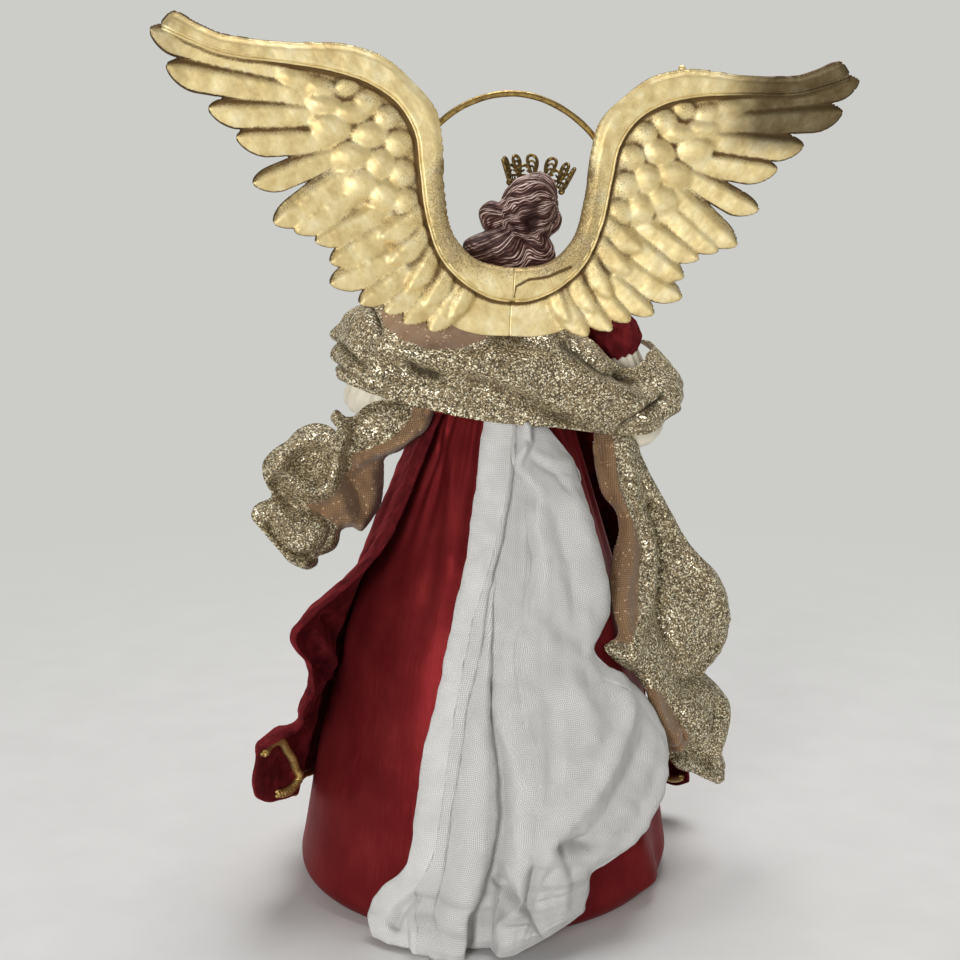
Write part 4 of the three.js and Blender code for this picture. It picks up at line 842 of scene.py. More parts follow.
def overskirt():
    rows, columns = 190, 330
    rise, deg = np.meshgrid(np.linspace(0, 1, rows), np.linspace(VELVET_LEFT, VELVET_RIGHT, columns), indexing="ij")
    top = SKIRT_TOP_Z - 2
    z = mix(table(VELVET_HEM, deg), top, rise)
    a = np.radians(deg - LEFT_LAP * smooth(z, 120, 190) * smooth(-deg, 60, -VELVET_LEFT))
    left, right = smooth(-deg, 88, -VELVET_LEFT), smooth(deg, 50, VELVET_RIGHT)
    waves = 1 + np.cos(13 * a + 1.5 * np.sin(2 * a))
    off = VELVET_OFF + 3.4 * (1 - rise) * waves * (1 - left) * (1 - right)
    off = off + left * table(LEFT_EDGE, z) + right * table(RIGHT_EDGE, z)
    p = skirt_point(z, a, off)
    inward = normals(p)
    outside = (inward * np.stack([np.sin(a), np.cos(a), 0 * a], -1)).sum(-1, keepdims=True) > 0
    inward = inward * np.where(outside, -1, 1)
    ruffle = folds(p, RUFFLES) * smooth(-deg, 86, 98)
    p = p + inward * (ruffle + 0.3 * wobble(p, 9, 31))[..., None]
    obj = cloth("overskirt_velvet", p, VELVET_THICK, [VELVET], "velvet_overskirt", flip=True)

    def on_velvet(degrees, height, angle, reach=BRAID_OFF):
        """A place beside the cloth: on its inner face at angle 0, and under its edge at a quarter turn."""
        j = np.interp(degrees, deg[0], np.arange(columns))
        hem = table(VELVET_HEM, np.array(degrees))
        i = float(np.clip((height - hem) / (top - hem), 0, 1)) * (rows - 1)
        low, side = min(int(i), rows - 2), min(int(j), columns - 2)
        corner = p[low:low + 2, side:side + 2]
        spot = mix(mix(corner[0, 0], corner[1, 0], i - low), mix(corner[0, 1], corner[1, 1], i - low), j - side)
        up = unit(corner[1, 0] - corner[0, 0])
        return spot + reach * (math.cos(angle) * inward[low, side] - math.sin(angle) * up)

    def over_hem(degrees, rise, quarters):
        return on_velvet(degrees, float(table(VELVET_HEM, np.array(degrees))) + rise, quarters * math.pi / 2)

    corner_path = [on_velvet(degrees, height, 0, BRAID_OFF + lift) for degrees, height, lift in BRAID_CORNER]
    hem_path = [over_hem(*spot) for spot in BRAID_START + [(degrees, 0, 1) for degrees in BRAID_HEM] + BRAID_END]
    cords = [cord_mesh(curve(path, count), *BRAID_STRANDS) for path, count in ((corner_path, 260), (hem_path, 640))]
    piece("hem_braid", gather(cords), [TRIM], ["gold_braid"])


def waist_cord():
    a = bearings(200)
    off = mix(TIE_BACK_OFF, TIE_FRONT_OFF, smooth(np.cos(a), -0.75, -0.3))
    path = skirt_point(np.full(len(a), SKIRT_TOP_Z - TIE_DROP), a, off)
    piece("waist_cord", cord_mesh(path, *TIE_STRANDS, True), [SATIN], ["waist_tie"])


# Shell pieces on a plane grid: only the cells inside an outline are kept
def plane_grid(low, high, step):
    return np.stack(np.meshgrid(*(np.arange(a, b, step) for a, b in zip(low, high)), indexing="ij"), -1)


def with_depth(q):
    return np.concatenate([q, np.zeros(q.shape[:2] + (1,))], -1)


def shell(q, depth, step):
    """Points moved onto the outline, the mask of those used, and the quads and border edges between them."""
    cell = (depth[:-1, :-1] + depth[1:, :-1] + depth[1:, 1:] + depth[:-1, 1:]) > 0
    used = np.zeros(depth.shape, int)
    for i, j in ((0, 0), (1, 0), (1, 1), (0, 1)):
        used[i:i + cell.shape[0], j:j + cell.shape[1]] += cell
    edge = (used > 0) & (used < 4)
    slope = np.stack(np.gradient(depth, step), -1)
    size = np.maximum(np.linalg.norm(slope, axis=-1, keepdims=True), 0.5)
    shift = np.clip(-depth[..., None] / size, -0.7 * step, 0.7 * step) * slope / size
    q = q + np.where(edge[..., None], shift, 0)
    mask = used > 0
    index = np.full(depth.shape, -1)
    index[mask] = np.arange(mask.sum())
    i, j = np.nonzero(cell)
    quads = np.stack([index[i, j], index[i + 1, j], index[i + 1, j + 1], index[i, j + 1]], -1)
    pairs = {(a, b) for quad in quads.tolist() for a, b in zip(quad, quad[1:] + quad[:1])}
    border = np.array(sorted(p for p in pairs if (p[1], p[0]) not in pairs))
    return q, mask, quads, border


def two_sided(quads, border, count):
    rims = np.stack([border[:, 1], border[:, 0], border[:, 0] + count, border[:, 1] + count], -1)
    return np.concatenate([quads, quads[:, ::-1] + count, rims])


def bell(cells, reach):
    """Weights that fall away from a middle one, out to a reach on each side."""
    return np.exp(-0.5 * (np.arange(-reach, reach + 1) / cells) ** 2)


def blur(h, mask, cells):
    """A grid of heights softened over a number of cells, within its mask."""
    kernel = bell(cells, int(3 * cells) + 1)

    def run(a):
        for axis in (0, 1):
            a = np.apply_along_axis(lambda line: np.convolve(line, kernel, "same"), axis, a)
        return a

    return run(np.where(mask, h, 0)) / np.maximum(run(mask.astype(float)), 1e-6)


# Wings, in the wing's own plane: x runs outward from the seam and z up
LEADING_EDGE = [
    (0, 17.5), (6, 18), (18, 21), (28, 31), (33, 50), (35, 72), (38, 85), (50, 98), (62, 107), (76, 111),
    (105, 110.5), (124, 111), (133, 112), (142, 115.2), (153, 119), (157, 114.5)]
BEAD = [
    (0, 3), (7, 3.5), (20, 9), (33, 21), (40, 38), (44, 60), (47, 76), (55, 88), (68, 96), (83, 100), (102, 102),
    (113, 102.5), (123, 102.8), (133, 104), (143, 107), (156.5, 112)]
PANEL_FOOT = [
    (156.5, 112), (134, 97), (112, 91), (98, 80), (88, 66), (78, 48), (66, 26), (52, 9), (42, 0), (31, -8), (22, -12),
    (11, -14), (0, -14)]
# Flight feathers: root, tip and width, from the wing tip round to the seam
FEATHERS = [
    (103, 97.5, 162, 109.5, 12.5), (92, 88, 155, 95, 14), (88, 81, 137, 78.5, 13.5), (82, 71, 125, 67, 14),
    (78, 66, 117, 48, 12.5), (75, 57, 107, 31, 15), (72, 49, 98, 28, 13), (62, 41, 89, 24, 12.5),
    (57, 33, 82, 15, 14), (52, 22, 82, 5.5, 14), (48, 15, 68.5, -2.5, 12), (43, 9, 57, -6, 11.5),
    (32, 9, 48, -10.5, 12.5), (23, 9, 36, -13.5, 14)]
# Puffed coverts: centre, length, width and the way they point, in degrees
COVERTS = [
    (100, 95.5, 18, 8.5, 8), (89, 92.5, 15, 9, 12), (87, 85.5, 17, 9.5, 5), (78, 94, 12, 9, -15),
    (76, 83, 17, 10, -5), (69, 88, 14, 12, -18), (60, 82, 13, 11, -25), (85, 76, 19, 13.5, 0), (67, 74, 17, 12, -15),
    (54, 71, 14, 12.5, -18), (75, 64, 20, 13, -10), (62, 61.5, 15, 14, -20), (52.5, 58, 14, 13.5, -24),
    (70, 52.5, 17, 13.5, -22), (60, 48, 15, 14.5, -34), (50.5, 46, 13, 12, -36)]
# Long inner coverts that run down from the bead
INNER = [
    (42, 42, 61, 27, 12), (40, 33, 56, 16.5, 11.5), (36, 25, 47, 5, 11), (29, 17, 39, -2, 10.5), (19, 12, 27, -7, 10)]
# A hairline crack that steps from the seam across the right wing's band
CRACK = [(0.4, 4), (1, 9), (7, 12.5), (16, 14), (27, 19)]
# A lump on the right wing's upper edge: plane place and depth, and its radius
WING_KNOB = (76.2, 111.3, -2.5)
KNOB_R = 1.9
WING_AT = np.array([-3.5, -38, TORSO_TOP_Z - 6])
WING_ROLL = math.radians(2.8)
WING_SWEEP = 9
WING_HALF_SPAN = 162
WING_STRETCH = 0.02
WING_LOW, WING_HIGH, WING_STEP = (-0.6, -20), (168, 126), 0.6
OUTSIDE = -9.0
HALO_AT, HALO_R, HALO_WIRE_R = (-1, 2.1, 47), 49, 1.45


def in_wing_frame(p):
    x, z = turned(p[..., 0], p[..., 2], WING_ROLL)
    return np.stack([x, p[..., 1], z], -1) + WING_AT


def on_wing(hand, x, up, y):
    """Points of a wing from plane places and the distance in front of its swept sheet."""
    x = x * (1 - hand * WING_STRETCH)
    return in_wing_frame(np.stack([hand * x, y - WING_SWEEP * (x / WING_HALF_SPAN) ** 2, up], -1))


def blade(q, start, tip, width):
    """A feather's own coordinates at plane points q: share of its length, side, and depth inside its outline."""
    start, tip = np.asarray(start, float), np.asarray(tip, float)
    length = np.linalg.norm(tip - start)
    way = (tip - start) / length
    t = ((q - start) @ way) / length
    d = (q - start) @ np.array([-way[1], way[0]]) + 0.05 * width * np.clip(t, 0, 1) ** 2
    shoulder = 1 - 0.95 * width / length
    end = np.clip((t - shoulder) / (1 - shoulder), 0, 1)
    d = d - 0.16 * width * end ** 1.5
    half = width / 2 * (0.8 + 0.2 * smooth(t, 0, 0.5)) * np.clip(1 - end ** 2, 0, 1) ** 0.62
    depth = np.where((t > -0.02) & (t < 1), half - np.abs(d), OUTSIDE)
    return t, np.clip(d / np.maximum(half, 0.05), -1, 1), depth


def wing_relief():
    """The wing's pattern on a plane grid: points, depth inside the outline, relief height, and patina with painted
    shade.
    """
    q = plane_grid(WING_LOW, WING_HIGH, WING_STEP)
    x, z = q[..., 0], q[..., 1]
    lead, bead, foot = curve(LEADING_EDGE, 90), curve(BEAD, 90), curve(PANEL_FOOT, 70)
    lead_gap, bead_gap, foot_gap = (gap_to(q, line) for line in (lead, bead, foot))
    in_band = inside(q, np.concatenate([lead, bead[::-1]]))
    in_panel = inside(q, np.concatenate([bead, foot])) & ~in_band
    depth = np.where(in_band, lead_gap, np.where(in_panel, foot_gap, -np.minimum(lead_gap, foot_gap)))
    ground = 0.2 + 0.3 * smooth(foot_gap, 0, 7) + 0.8 * (1 - smooth(bead_gap, 3, 16)) * smooth(z, 30, 44)
    height = np.where(in_panel, ground, 0.0)
    patina_and_shade = np.zeros(height.shape)

    def take(body, d, dark):
        """A feather lies over the others wherever it stands higher."""
        nonlocal depth, height, patina_and_shade
        over = (d > 0) & (body > height)
        height = np.where(over, body, height)
        patina_and_shade = np.where(over, dark, patina_and_shade)
        depth = np.maximum(depth, d)

    for (rx, rz, tx, tz, width), long in [(f, 1.0) for f in FEATHERS] + [(f, 0.0) for f in INNER]:
        t, side, d = blade(q, (rx, rz), (tx, tz), width)
        # a ridge runs along each feather, nearer its upper edge, and the upper flank is darkened: patina, and painted
        # shade from the feather above
        ridge = np.where(side > 0.3, (1 - side) / 0.7, (1 + 0.35 * (side + 1)) / 1.455)
        rise = mix(mix(1.0, -0.4, long), 2.0, np.clip(t, 0, 1))
        body = rise + 2.6 * ridge * np.sqrt(np.clip(1 - side ** 4, 0, 1))
        dark = smooth(side, 0.15, 0.75) * smooth(t, 0.05, 0.35) * mix(0.45, 1.0, long * smooth(tz, 20, 70))
        take(np.maximum(body, 0.15), d, dark + 0.35 * smooth(t, 0.86, 1.0) * long)
    for cx, cz, length, width, degrees in COVERTS:
        along, across = turned(x - cx, z - cz, math.radians(degrees))
        r = np.hypot(along / (length * 0.60), across / (width * 0.60))
        puff = mix(3.2, 4.1, smooth(bead_gap, 5, 20)) * (1 - r ** 2.6)
        body = 0.2 + puff + 0.7 * along / length - 0.7 * across / width
        # each covert darkens round the upper side of its rim: patina in the gaps, and painted shade on the side
        # turned from the light
        dark = smooth(r, 0.5, 1.0) * smooth(across / width, -0.35, 0.35)
        take(body, np.where(in_panel, (1 - r) * width / 2, OUTSIDE), dark)
    clear = depth > 0
    height = blur(height, clear, 1.2) * clear
    patina_and_shade = blur(patina_and_shade, clear, 1.0)
    # the smooth band along the leading edge, raised over the feathers
    side = np.where(in_band, 1.0, -1.0) * bead_gap
    band = 4.4 - 2.0 * (1 - smooth(lead_gap, 0, 4.0)) + 1.1 * hump(lead_gap - 1.6, 1.3) * smooth(34 - x, 0, 14)
    height = mix(height, band, smooth(side, -1.6, 0.4) * (in_band | in_panel))
    upright = smooth(-x, -48, -36) * smooth(z, 6, 20) * smooth(-z, -78, -58)
    # beside the bead on the panel side: patina, and painted shade under the raised band
    beside = smooth(-x, -112, -80) * smooth(z, -6, 12)
    patina_and_shade = np.where(in_band, 0.60 * upright, patina_and_shade) + 0.40 * beside * hump(side + 5, 6) * in_panel
    patina_and_shade = patina_and_shade + 0.75 * hump(side + 1.9, 1.1) * (in_band | in_panel)
    plane = with_depth(q)
    height = height + 0.10 * wobble(plane, 9, 3) + 0.06 * wobble(plane, 3.5, 4)
    return q, np.minimum(depth, x - 0.15), height, patina_and_shade


def wings():
    q, depth, height, patina_and_shade = wing_relief()
    crack = gap_to(q, CRACK)
    q, mask, quads, border = shell(q, depth, WING_STEP)
    x, z = q[..., 0], q[..., 1]
    height = np.where(mask, np.maximum(height, 0.1), 0)
    near = np.clip((blur(height, mask, 2.5) - height) / 1.3, 0, 1)
    rim = (1 - smooth(depth, 0.1, 1.3)) * smooth(x, 20, 70) + 0.35 * smooth(x, 92, 150)
    count = int(mask.sum())
    faces = two_sided(quads, border, count)
    (px, pz), h = q[mask].T, height[mask]
    line = curve(BEAD, 170)
    way = path_way(line, False)
    i, j = np.clip(np.rint((line - WING_LOW) / WING_STEP).astype(int), 0, np.array(mask.shape) - 1).T
    bead_rise = blur(height, mask, 2)[i, j]
    for name, hand in (("wing_left", -1), ("wing_right", 1)):
        right = hand > 0
        # painted shade where the right wing's outer feathers turn from the light; the left wing's tip is darkened too
        tip_shade = smooth(x, 90, 118) * smooth(z, 72, 84) if right else 0.6 * smooth(x, 140, 162)
        rear = on_wing(hand, px, pz, -2.0 - h)
        face = on_wing(hand, px, pz, -0.15 - 0.2 * np.clip(6 - h, 0, 6))
        parts = [(np.concatenate([rear, face]), faces)]
        # a thin double bead parts the band from the feathers
        for place in (-0.62, 0.62):
            bx, bz = line[:, 0] - place * way[:, 1], line[:, 1] + place * way[:, 0]
            parts.append(tube_mesh(on_wing(hand, bx, bz, -2.2 - bead_rise)[bx > 0.8], 0.55, 8))
        if right:
            knob = KNOB_R * directions(12, 16).reshape(-1, 3) + on_wing(hand, *WING_KNOB)
            parts.append((knob, closed_faces(12, 16)))
        verts, all_faces = gather(parts)
        # hollow holds patina in the hollows, the crack, and painted shade on the feathers' upper flanks, the coverts'
        # upper sides and beside the bead
        values = {"hollow": patina_and_shade + 0.85 * near + hump(crack, 0.6) * right, "rim": rim, "shade": tip_shade}
        extra = np.zeros(len(verts) - 2 * count)
        values = {key: np.concatenate([data[mask], data[mask], extra]) for key, data in values.items()}
        # the painted shade is kept off the front faces, and on the right wing it also darkens the beads and the knob
        # towards the tip
        values["shade"][count:2 * count] = 0
        if right:
            values["shade"][2 * count:] = smooth(verts[2 * count:, 0] - WING_AT[0], 90, 118)
        piece(name + "_gilt", (verts, all_faces), [GILT], [name], "wing_pair", values=values)


def halo():
    a = bearings(160)
    hoop = np.stack([HALO_R * np.cos(a), 0 * a, HALO_R * np.sin(a)], -1) + HALO_AT
    hoop = hoop + np.stack([wobble(hoop, 40, 5), 0 * a, wobble(hoop, 40, 6)], -1) * 0.25
    mesh = tube_mesh(in_wing_frame(hoop), HALO_WIRE_R + 0.05 * np.sin(23 * a), 14, True)
    piece("halo_hoop", mesh, [HALO_BRASS], ["halo"], "wing_pair")


# Linen train: left edge, middle and right edge as (x, height), from the waist down
TRAIN_LEFT = [
    (-13, 238), (-16.8, 223), (-20.1, 205), (-24, 187), (-29, 166), (-34, 150), (-39, 132), (-43.7, 114), (-47, 102),
    (-52, 83), (-56.3, 59), (-58.7, 43), (-62.6, 33), (-71.8, 22.7), (-78, 12), (-77, 2.5)]
TRAIN_MIDDLE = [
    (-2, 238), (-1, 221), (-1, 203), (-4, 185), (-8, 165), (-12, 149), (-17, 132), (-19.5, 115), (-20, 102),
    (-18, 84), (-18, 62), (-20, 46), (-22, 36), (-24, 25), (-26, 13), (-28, 2.5)]
TRAIN_RIGHT = [
    (9, 238), (29, 214), (33, 198), (37, 182), (40, 164), (43, 146), (31, 129), (51, 110.5), (62, 99), (73, 76),
    (63, 59), (47, 43), (31, 36), (22, 33), (20, 25), (18, 20)]
# Places across the train, by height: the hem strip, the left piece's edge, and the sides of the pleat and the panel
HEM_STRIP = [
    (26, -58.5), (40, -51), (64, -45.4), (92, -40.5), (120, -34.5), (132, -31.4), (151, -25.8), (166, -19.8),
    (187, -12.2), (205, -6.6), (224, -3), (238, -1)]
BAND_EDGE = [
    (2, -52), (22, -48.3), (33, -45.2), (46, -42.9), (65, -39.4), (89, -34.7), (113, -30.2), (121, -27.5),
    (138, -22.6), (151, -20.1), (165, -16.6), (178, -11.9), (195, -6.9), (213, -2.8), (235, 1.5)]
PLEAT_EDGE = [
    (2, -37), (21, -31.2), (36, -27), (47, -23.7), (56, -21), (70, -20), (89, -21), (107, -21.8), (133, -19.9),
    (155, -16.7), (163, -15), (178, -11), (195, -6), (213, -2)]
PANEL_EDGE = [
    (2, -26), (20, -21), (33, -18.6), (39.5, -19.8), (49, -17.5), (67.5, -16.3), (87, -16.8), (104, -20.3),
    (119, -19.4), (133, -13.7), (149, -4.6), (160, 1.4), (172, 3.7), (191, 2.5), (203, 5.2), (212, -2), (235, 2)]
# How far the pleat and the panel rise, and how wide the panel's rounded edge is, by height
PLEAT_RISE = [(5, 9), (30, 9.5), (60, 8), (100, 6), (130, 4), (150, 2), (165, 0)]
PANEL_RISE = [
    (5, 8), (35, 8.5), (60, 7.5), (90, 6), (108, 4), (122, 2.2), (140, 1.8), (155, 3), (172, 4.5), (203, 4.5),
    (214, 3), (238, 2)]
PANEL_ROUND = [(5, 5), (60, 5), (104, 5), (125, 9), (140, 11), (155, 6), (175, 4.5), (238, 4)]
# Beyond this distance behind the middle the cloth lies down
TRAIN_FLAT = 105
TRAIN_LOW = 0.6
# Folds of the train: width, height and line
TRAIN_FOLDS = [
    (4.5, 3.4, [(42, 118), (44.6, 104), (42.8, 97), (32, 83), (20, 68.6), (8, 60), (-0.5, 52.6), (-8, 45)]),
    (5, -3.2, [(57, 92), (46, 78), (32, 62), (20, 51), (8, 50)]), (3, -4, [(24, 50), (10, 51), (2, 49)]),
    (3, 2.5, [(66, 76), (58, 62), (46, 51), (33, 44)]), (3.5, 4, [(-5, 48.7), (1, 46.3), (4.6, 34), (4.6, 17)]),
    (2.6, -4.5, [(-6.5, 45), (-8.5, 37.7), (-10.5, 28), (-8, 20)]), (2.4, -4, [(-70, 8), (-65, 16), (-55, 25.7)]),
    (7, 4, [(-62, 8), (-48, 8)]), (7, 4, [(-22, 16), (-12, 12)]), (2.2, -4, [(-33, 22), (-36, 8), (-38, 2)]),
    (2.2, -3.5, [(-25, 34), (-17, 28), (-9, 20), (-3, 10)]),
    (1.5, 2.4, [(1.5, 237), (4.6, 231), (4.8, 224), (0, 217)]), (1.4, 2, [(7, 237), (3.5, 228), (2, 221), (-1, 215)]),
    (2.2, 0.7, [(3, 222), (16, 215), (28, 213)]), (1.8, -0.7, [(5, 218), (18, 209), (24, 200)]),
    (5, 1.6, [(20, 205), (28, 190), (34, 168), (38, 146)]), (4, -1.8, [(14, 196), (20, 170), (22, 146)]),
    (5, -1.6, [(28, 130), (18, 138), (4, 150)]), (6, 1.8, [(12, 126), (22, 108), (26, 88)]),
    (5, -1.5, [(4, 118), (6, 96), (2, 74)])]


def quarter_round(gap, width):
    """A rounded step: 0 up to a line, then up to 1 over a width."""
    return np.sqrt(1 - (1 - np.clip(gap / width, 0, 1)) ** 2)


def linen_train():
    g = lattice(list(zip(TRAIN_LEFT, TRAIN_MIDDLE, TRAIN_RIGHT)), 220, 230)
    x, z = g[..., 0], np.maximum(g[..., 1], TRAIN_LOW)
    strip, band, pleat_at, panel = (table(line, z) for line in (HEM_STRIP, BAND_EDGE, PLEAT_EDGE, PANEL_EDGE))
    right_gap, left_gap = (gap_to(g, curve(line, 120)) for line in (TRAIN_RIGHT, TRAIN_LEFT))
    off = 1.6 + quarter_round(band - x, 2.5) * quarter_round(left_gap, 6) * mix(3.2, 5.0, smooth(z, 150, 178))
    across = np.clip((x - band) / np.maximum(pleat_at - band, 0.3), 0, 1)
    off = off + 2 * np.sqrt(across * (1 - across)) * 1.35 * table(PLEAT_RISE, z)
    off = off + quarter_round(x - panel, table(PANEL_ROUND, z)) * (1.5 + 1.7 * table(PANEL_RISE, z))
    off = mix(2.0, off, quarter_round(right_gap, 8)) + 9 * (1 - smooth(z, 2, 18))
    off = blur(off, np.ones(off.shape, bool), 1.0)
    double = np.maximum(1 - smooth(x - strip, -0.3, 0.3), (1 - smooth(right_gap, 4.4, 5)) * (z < 118))
    p = np.stack([x, behind_skirt(x, z, off + 0.4 * double), z], -1)
    push = 0.35 * wobble(p, 14, 21) + 0.2 * wobble(p, 6, 22) + 1.45 * folds(p, TRAIN_FOLDS)
    p = p + rearward(normals(p)) * push[..., None]
    z = np.maximum(p[..., 2], TRAIN_LOW)
    # the cloth never sinks into the satin
    side, depth = p[..., 0] - axis_x(z), p[..., 1] / skirt_depth(z)
    angle = np.arctan2(side, depth)
    p = round_axis(z, angle, np.maximum(np.hypot(side, depth), satin_radius(z, angle) + 1.1))
    y = p[..., 1]
    p[..., 1] = np.where(y < -TRAIN_FLAT, -TRAIN_FLAT - 10 * np.tanh((-y - TRAIN_FLAT) / 10), y)
    obj = cloth("train_linen", p, LINEN_THICK, [LINEN], "linen_train", values={"double": double})


# Stole: the wrap round the back and both arms
# Its lower and upper edges below the torso's top, by the share of the way round
WRAP_LOWER = [(0, -32), (0.17, -43), (0.33, -52), (0.5, -62), (0.67, -69.5), (0.83, -66), (1, -56)]
WRAP_UPPER = [
    (0, 0), (0.17, 2), (0.33, -6), (0.5, -12), (0.56, -14), (0.61, -25), (0.66, -36), (0.72, -37), (0.83, -31),
    (1, -26)]
# Folds of the wrap: width, height and line
WRAP_FOLDS = [
    (5.5, 4.4, [(-82, 274), (-64, 270), (-49, 267), (-31, 264), (-15, 260), (2, 252), (20, 243), (36, 234)]),
    (2.2, -5.5, [(-54, 264), (-46, 259), (-36, 256)]),
    (2.4, -4.2, [(-36, 256), (-21, 255), (-13, 253.5), (2, 247), (15, 238), (29, 233), (42, 229)]),
    (4, 3.2, [(-80, 256), (-60, 252), (-37, 249), (-15, 245), (3, 239), (20, 231), (40, 227)]),
    (2.6, -5.5, [(19, 271), (28, 266.5), (35, 260.5), (42, 255.7), (52, 252), (69, 249.5)]),
    (4, 4.6, [(32, 269), (45, 260), (61, 256), (75, 257)]), (5, 3.4, [(20, 262), (40, 248), (60, 243)]),
    (2.2, -5, [(52, 229), (62.6, 237), (73.5, 241.5), (78, 245)]), (3.5, 3, [(60, 231), (74, 235), (84, 238)]),
    (2.2, -5, [(-66, 289), (-65.5, 281), (-65, 272)]), (2, -3.4, [(-80, 271), (-75, 264.5), (-68, 257.5)]),
    (1.8, -3, [(-88, 264), (-82, 259.5), (-69, 253)]), (3, 2.6, [(-72, 286), (-74, 274), (-70, 266)]),
    (4, 2.5, [(-20, 271), (-2, 266), (14, 262)])]
WRAP_COPPER = [
    (-61, 300), (-12, 300), (-8, 280), (-13, 274), (-19, 271.5), (-29, 269), (-43, 269), (-55, 273.5), (-61, 279)]
WRAP_HALF_TURN = 100
WRAP_MIDDLE, WRAP_R, WRAP_POWER = (5.5, 4), (82, 44), 0.75


def stole_wrap():
    v, s = np.meshgrid(np.linspace(0, 1, 84), np.linspace(0, 1, 280), indexing="ij")
    a = np.radians(mix(-WRAP_HALF_TURN, WRAP_HALF_TURN, s))
    sin, cos = np.sin(a), np.cos(a)
    z = TORSO_TOP_Z + mix(table(WRAP_LOWER, s), table(WRAP_UPPER, s), v)
    out = 5 * np.sin(math.pi * v) - 13 * smooth(v, 0.55, 1) + 1.8 * np.sin(TURN * (1.5 * v + 0.9 * s))
    out = out + smooth(-s, -0.32, -0.12) * (4.5 * hump(z - 256, 7) - 8 * smooth(z, 258, 284))
    x = WRAP_MIDDLE[0] + WRAP_R[0] * np.sign(sin) * np.abs(sin) ** WRAP_POWER + out * sin
    y = WRAP_MIDDLE[1] - WRAP_R[1] * np.sign(cos) * np.abs(cos) ** WRAP_POWER - out * cos
    p = np.stack([x, y, z], -1)
    push = folds(p, WRAP_FOLDS) + 0.9 * wobble(p, 22, 41) + 0.45 * wobble(p, 8, 42)
    p = p + np.stack([sin, -cos, 0 * a], -1) * push[..., None]
    lining = inside(p[..., [0, 2]], WRAP_COPPER) & (y < -20)
    # deep, how far each fold sinks, paints shade into the glitter in the folds' valleys
    obj = cloth("stole_wrap_glitter", p, STOLE_THICK, [GLITTER, COPPER], "stole_wrap", flip=True,
                values={"deep": np.clip(-push / 4.5, 0, 1)}, mark=lining, straight=0.3)


# Stole tails: outline, domes (x, z, half width, half height, height), rolls (half width, height, line) and the parts
# where the copper reverse shows
LEFT_TAIL = [
    (-34, 243), (-39, 229), (-46, 221.5), (-50, 217), (-57, 213.5), (-58, 205), (-58.5, 197), (-60, 189),
    (-66, 181.5), (-69.5, 178.5), (-76, 181.5), (-81, 179), (-81.5, 176), (-83.5, 171.5), (-89, 169), (-92, 168),
    (-92.5, 164.5), (-96.5, 162), (-103.5, 165), (-111, 173), (-115, 178), (-121, 186), (-123.5, 190.5),
    (-122.5, 192.5), (-117, 197), (-113.5, 200), (-116, 205), (-118, 211), (-117.5, 215.5), (-113.5, 220.5),
    (-106, 225.5), (-100, 230.5), (-93.5, 232.5), (-86.5, 231.5), (-82.5, 230), (-85, 236.5), (-82.5, 238.5),
    (-77.5, 235), (-75, 235), (-69, 239.5), (-62, 242.5), (-48, 244)]
LEFT_STRIP = [(-41, 244), (-42.5, 236), (-47, 228.6), (-54.7, 222), (-63, 217.5), (-71, 214.5)]
LEFT_DOMES = [(-99, 181.5, 11, 10.5, 10), (-61, 230, 16, 13, 3.5)]
LEFT_ROLLS = [
    (5, 8, [(-117, 203), (-118, 210), (-115, 216), (-110, 220), (-105, 224), (-97, 227), (-90, 226), (-85, 223.5)]),
    (4.8, 9, [(-111, 214), (-105, 208), (-98.5, 203), (-92, 201.5), (-87, 206), (-84.5, 212), (-83, 220),
      (-81, 229)]), (4.2, -5.5, [(-102, 214), (-95, 217.5), (-90, 219)]),
    (3.4, -6, [(-112, 206), (-107.5, 198.5), (-103, 191)]),
    (3.5, 5, [(-117.5, 209), (-116.5, 202), (-113, 196), (-109, 191), (-103, 188)]),
    (2.8, 6.5, [(-123, 189), (-119, 183), (-114, 176.6), (-107, 169.5), (-100, 166)]),
    (1.9, -6, [(-116, 185), (-111, 177.5), (-104, 171), (-97, 169.5)]), (2.5, 4, [(-81, 229), (-85, 236)]),
    (3.6, 7, LEFT_STRIP), (3, 4, [(-37, 243), (-38, 235), (-42, 229)]), (1.4, -3, [(-40.5, 243), (-41.5, 237)]),
    (4, 4.5, [(-83, 202), (-80.4, 193), (-75.7, 185), (-72, 180)]), (2.2, -3, [(-79, 207), (-73, 199), (-70, 190)]),
    (3, 2.5, [(-66, 206), (-65, 195), (-69, 183)]), (2.5, -2.5, [(-74, 232), (-77, 222), (-77, 214)])]
LEFT_LINING = [
    (-79.3, 208), (-71, 214), (-57, 214), (-57, 193.7), (-59, 186), (-69, 176), (-76, 179), (-81, 176), (-84, 184),
    (-88, 188), (-95, 189.6), (-98, 195), (-91.6, 196.5), (-85.5, 199)]
RIGHT_TAIL = [
    (46, 224), (45, 206), (47, 195), (54, 186), (55, 177), (50, 167), (46, 156), (45, 146), (46, 131), (38, 128),
    (44, 121), (56, 111.5), (61, 104), (65, 90), (71, 76), (75, 70), (77, 64), (93, 53), (105, 45), (115, 40),
    (117, 46), (115, 57), (119, 67), (121, 76), (118, 83), (111, 92), (107, 96), (114, 104), (119, 114), (121, 124),
    (118, 136), (110, 150), (100, 160), (93, 170), (84, 186), (74, 203), (64, 224)]
RIGHT_STRIP = [(52, 224), (53, 205), (55, 192), (60, 180), (60, 168), (55, 155), (52, 143), (50, 133)]
RIGHT_WEDGE = [(62, 103), (68, 94), (74, 82), (80, 74)]
RIGHT_DOMES = [(99, 135, 20, 30, 9), (58, 122, 17, 10, 6), (113, 78, 9, 12, 6), (98, 82, 16, 15, 5)]
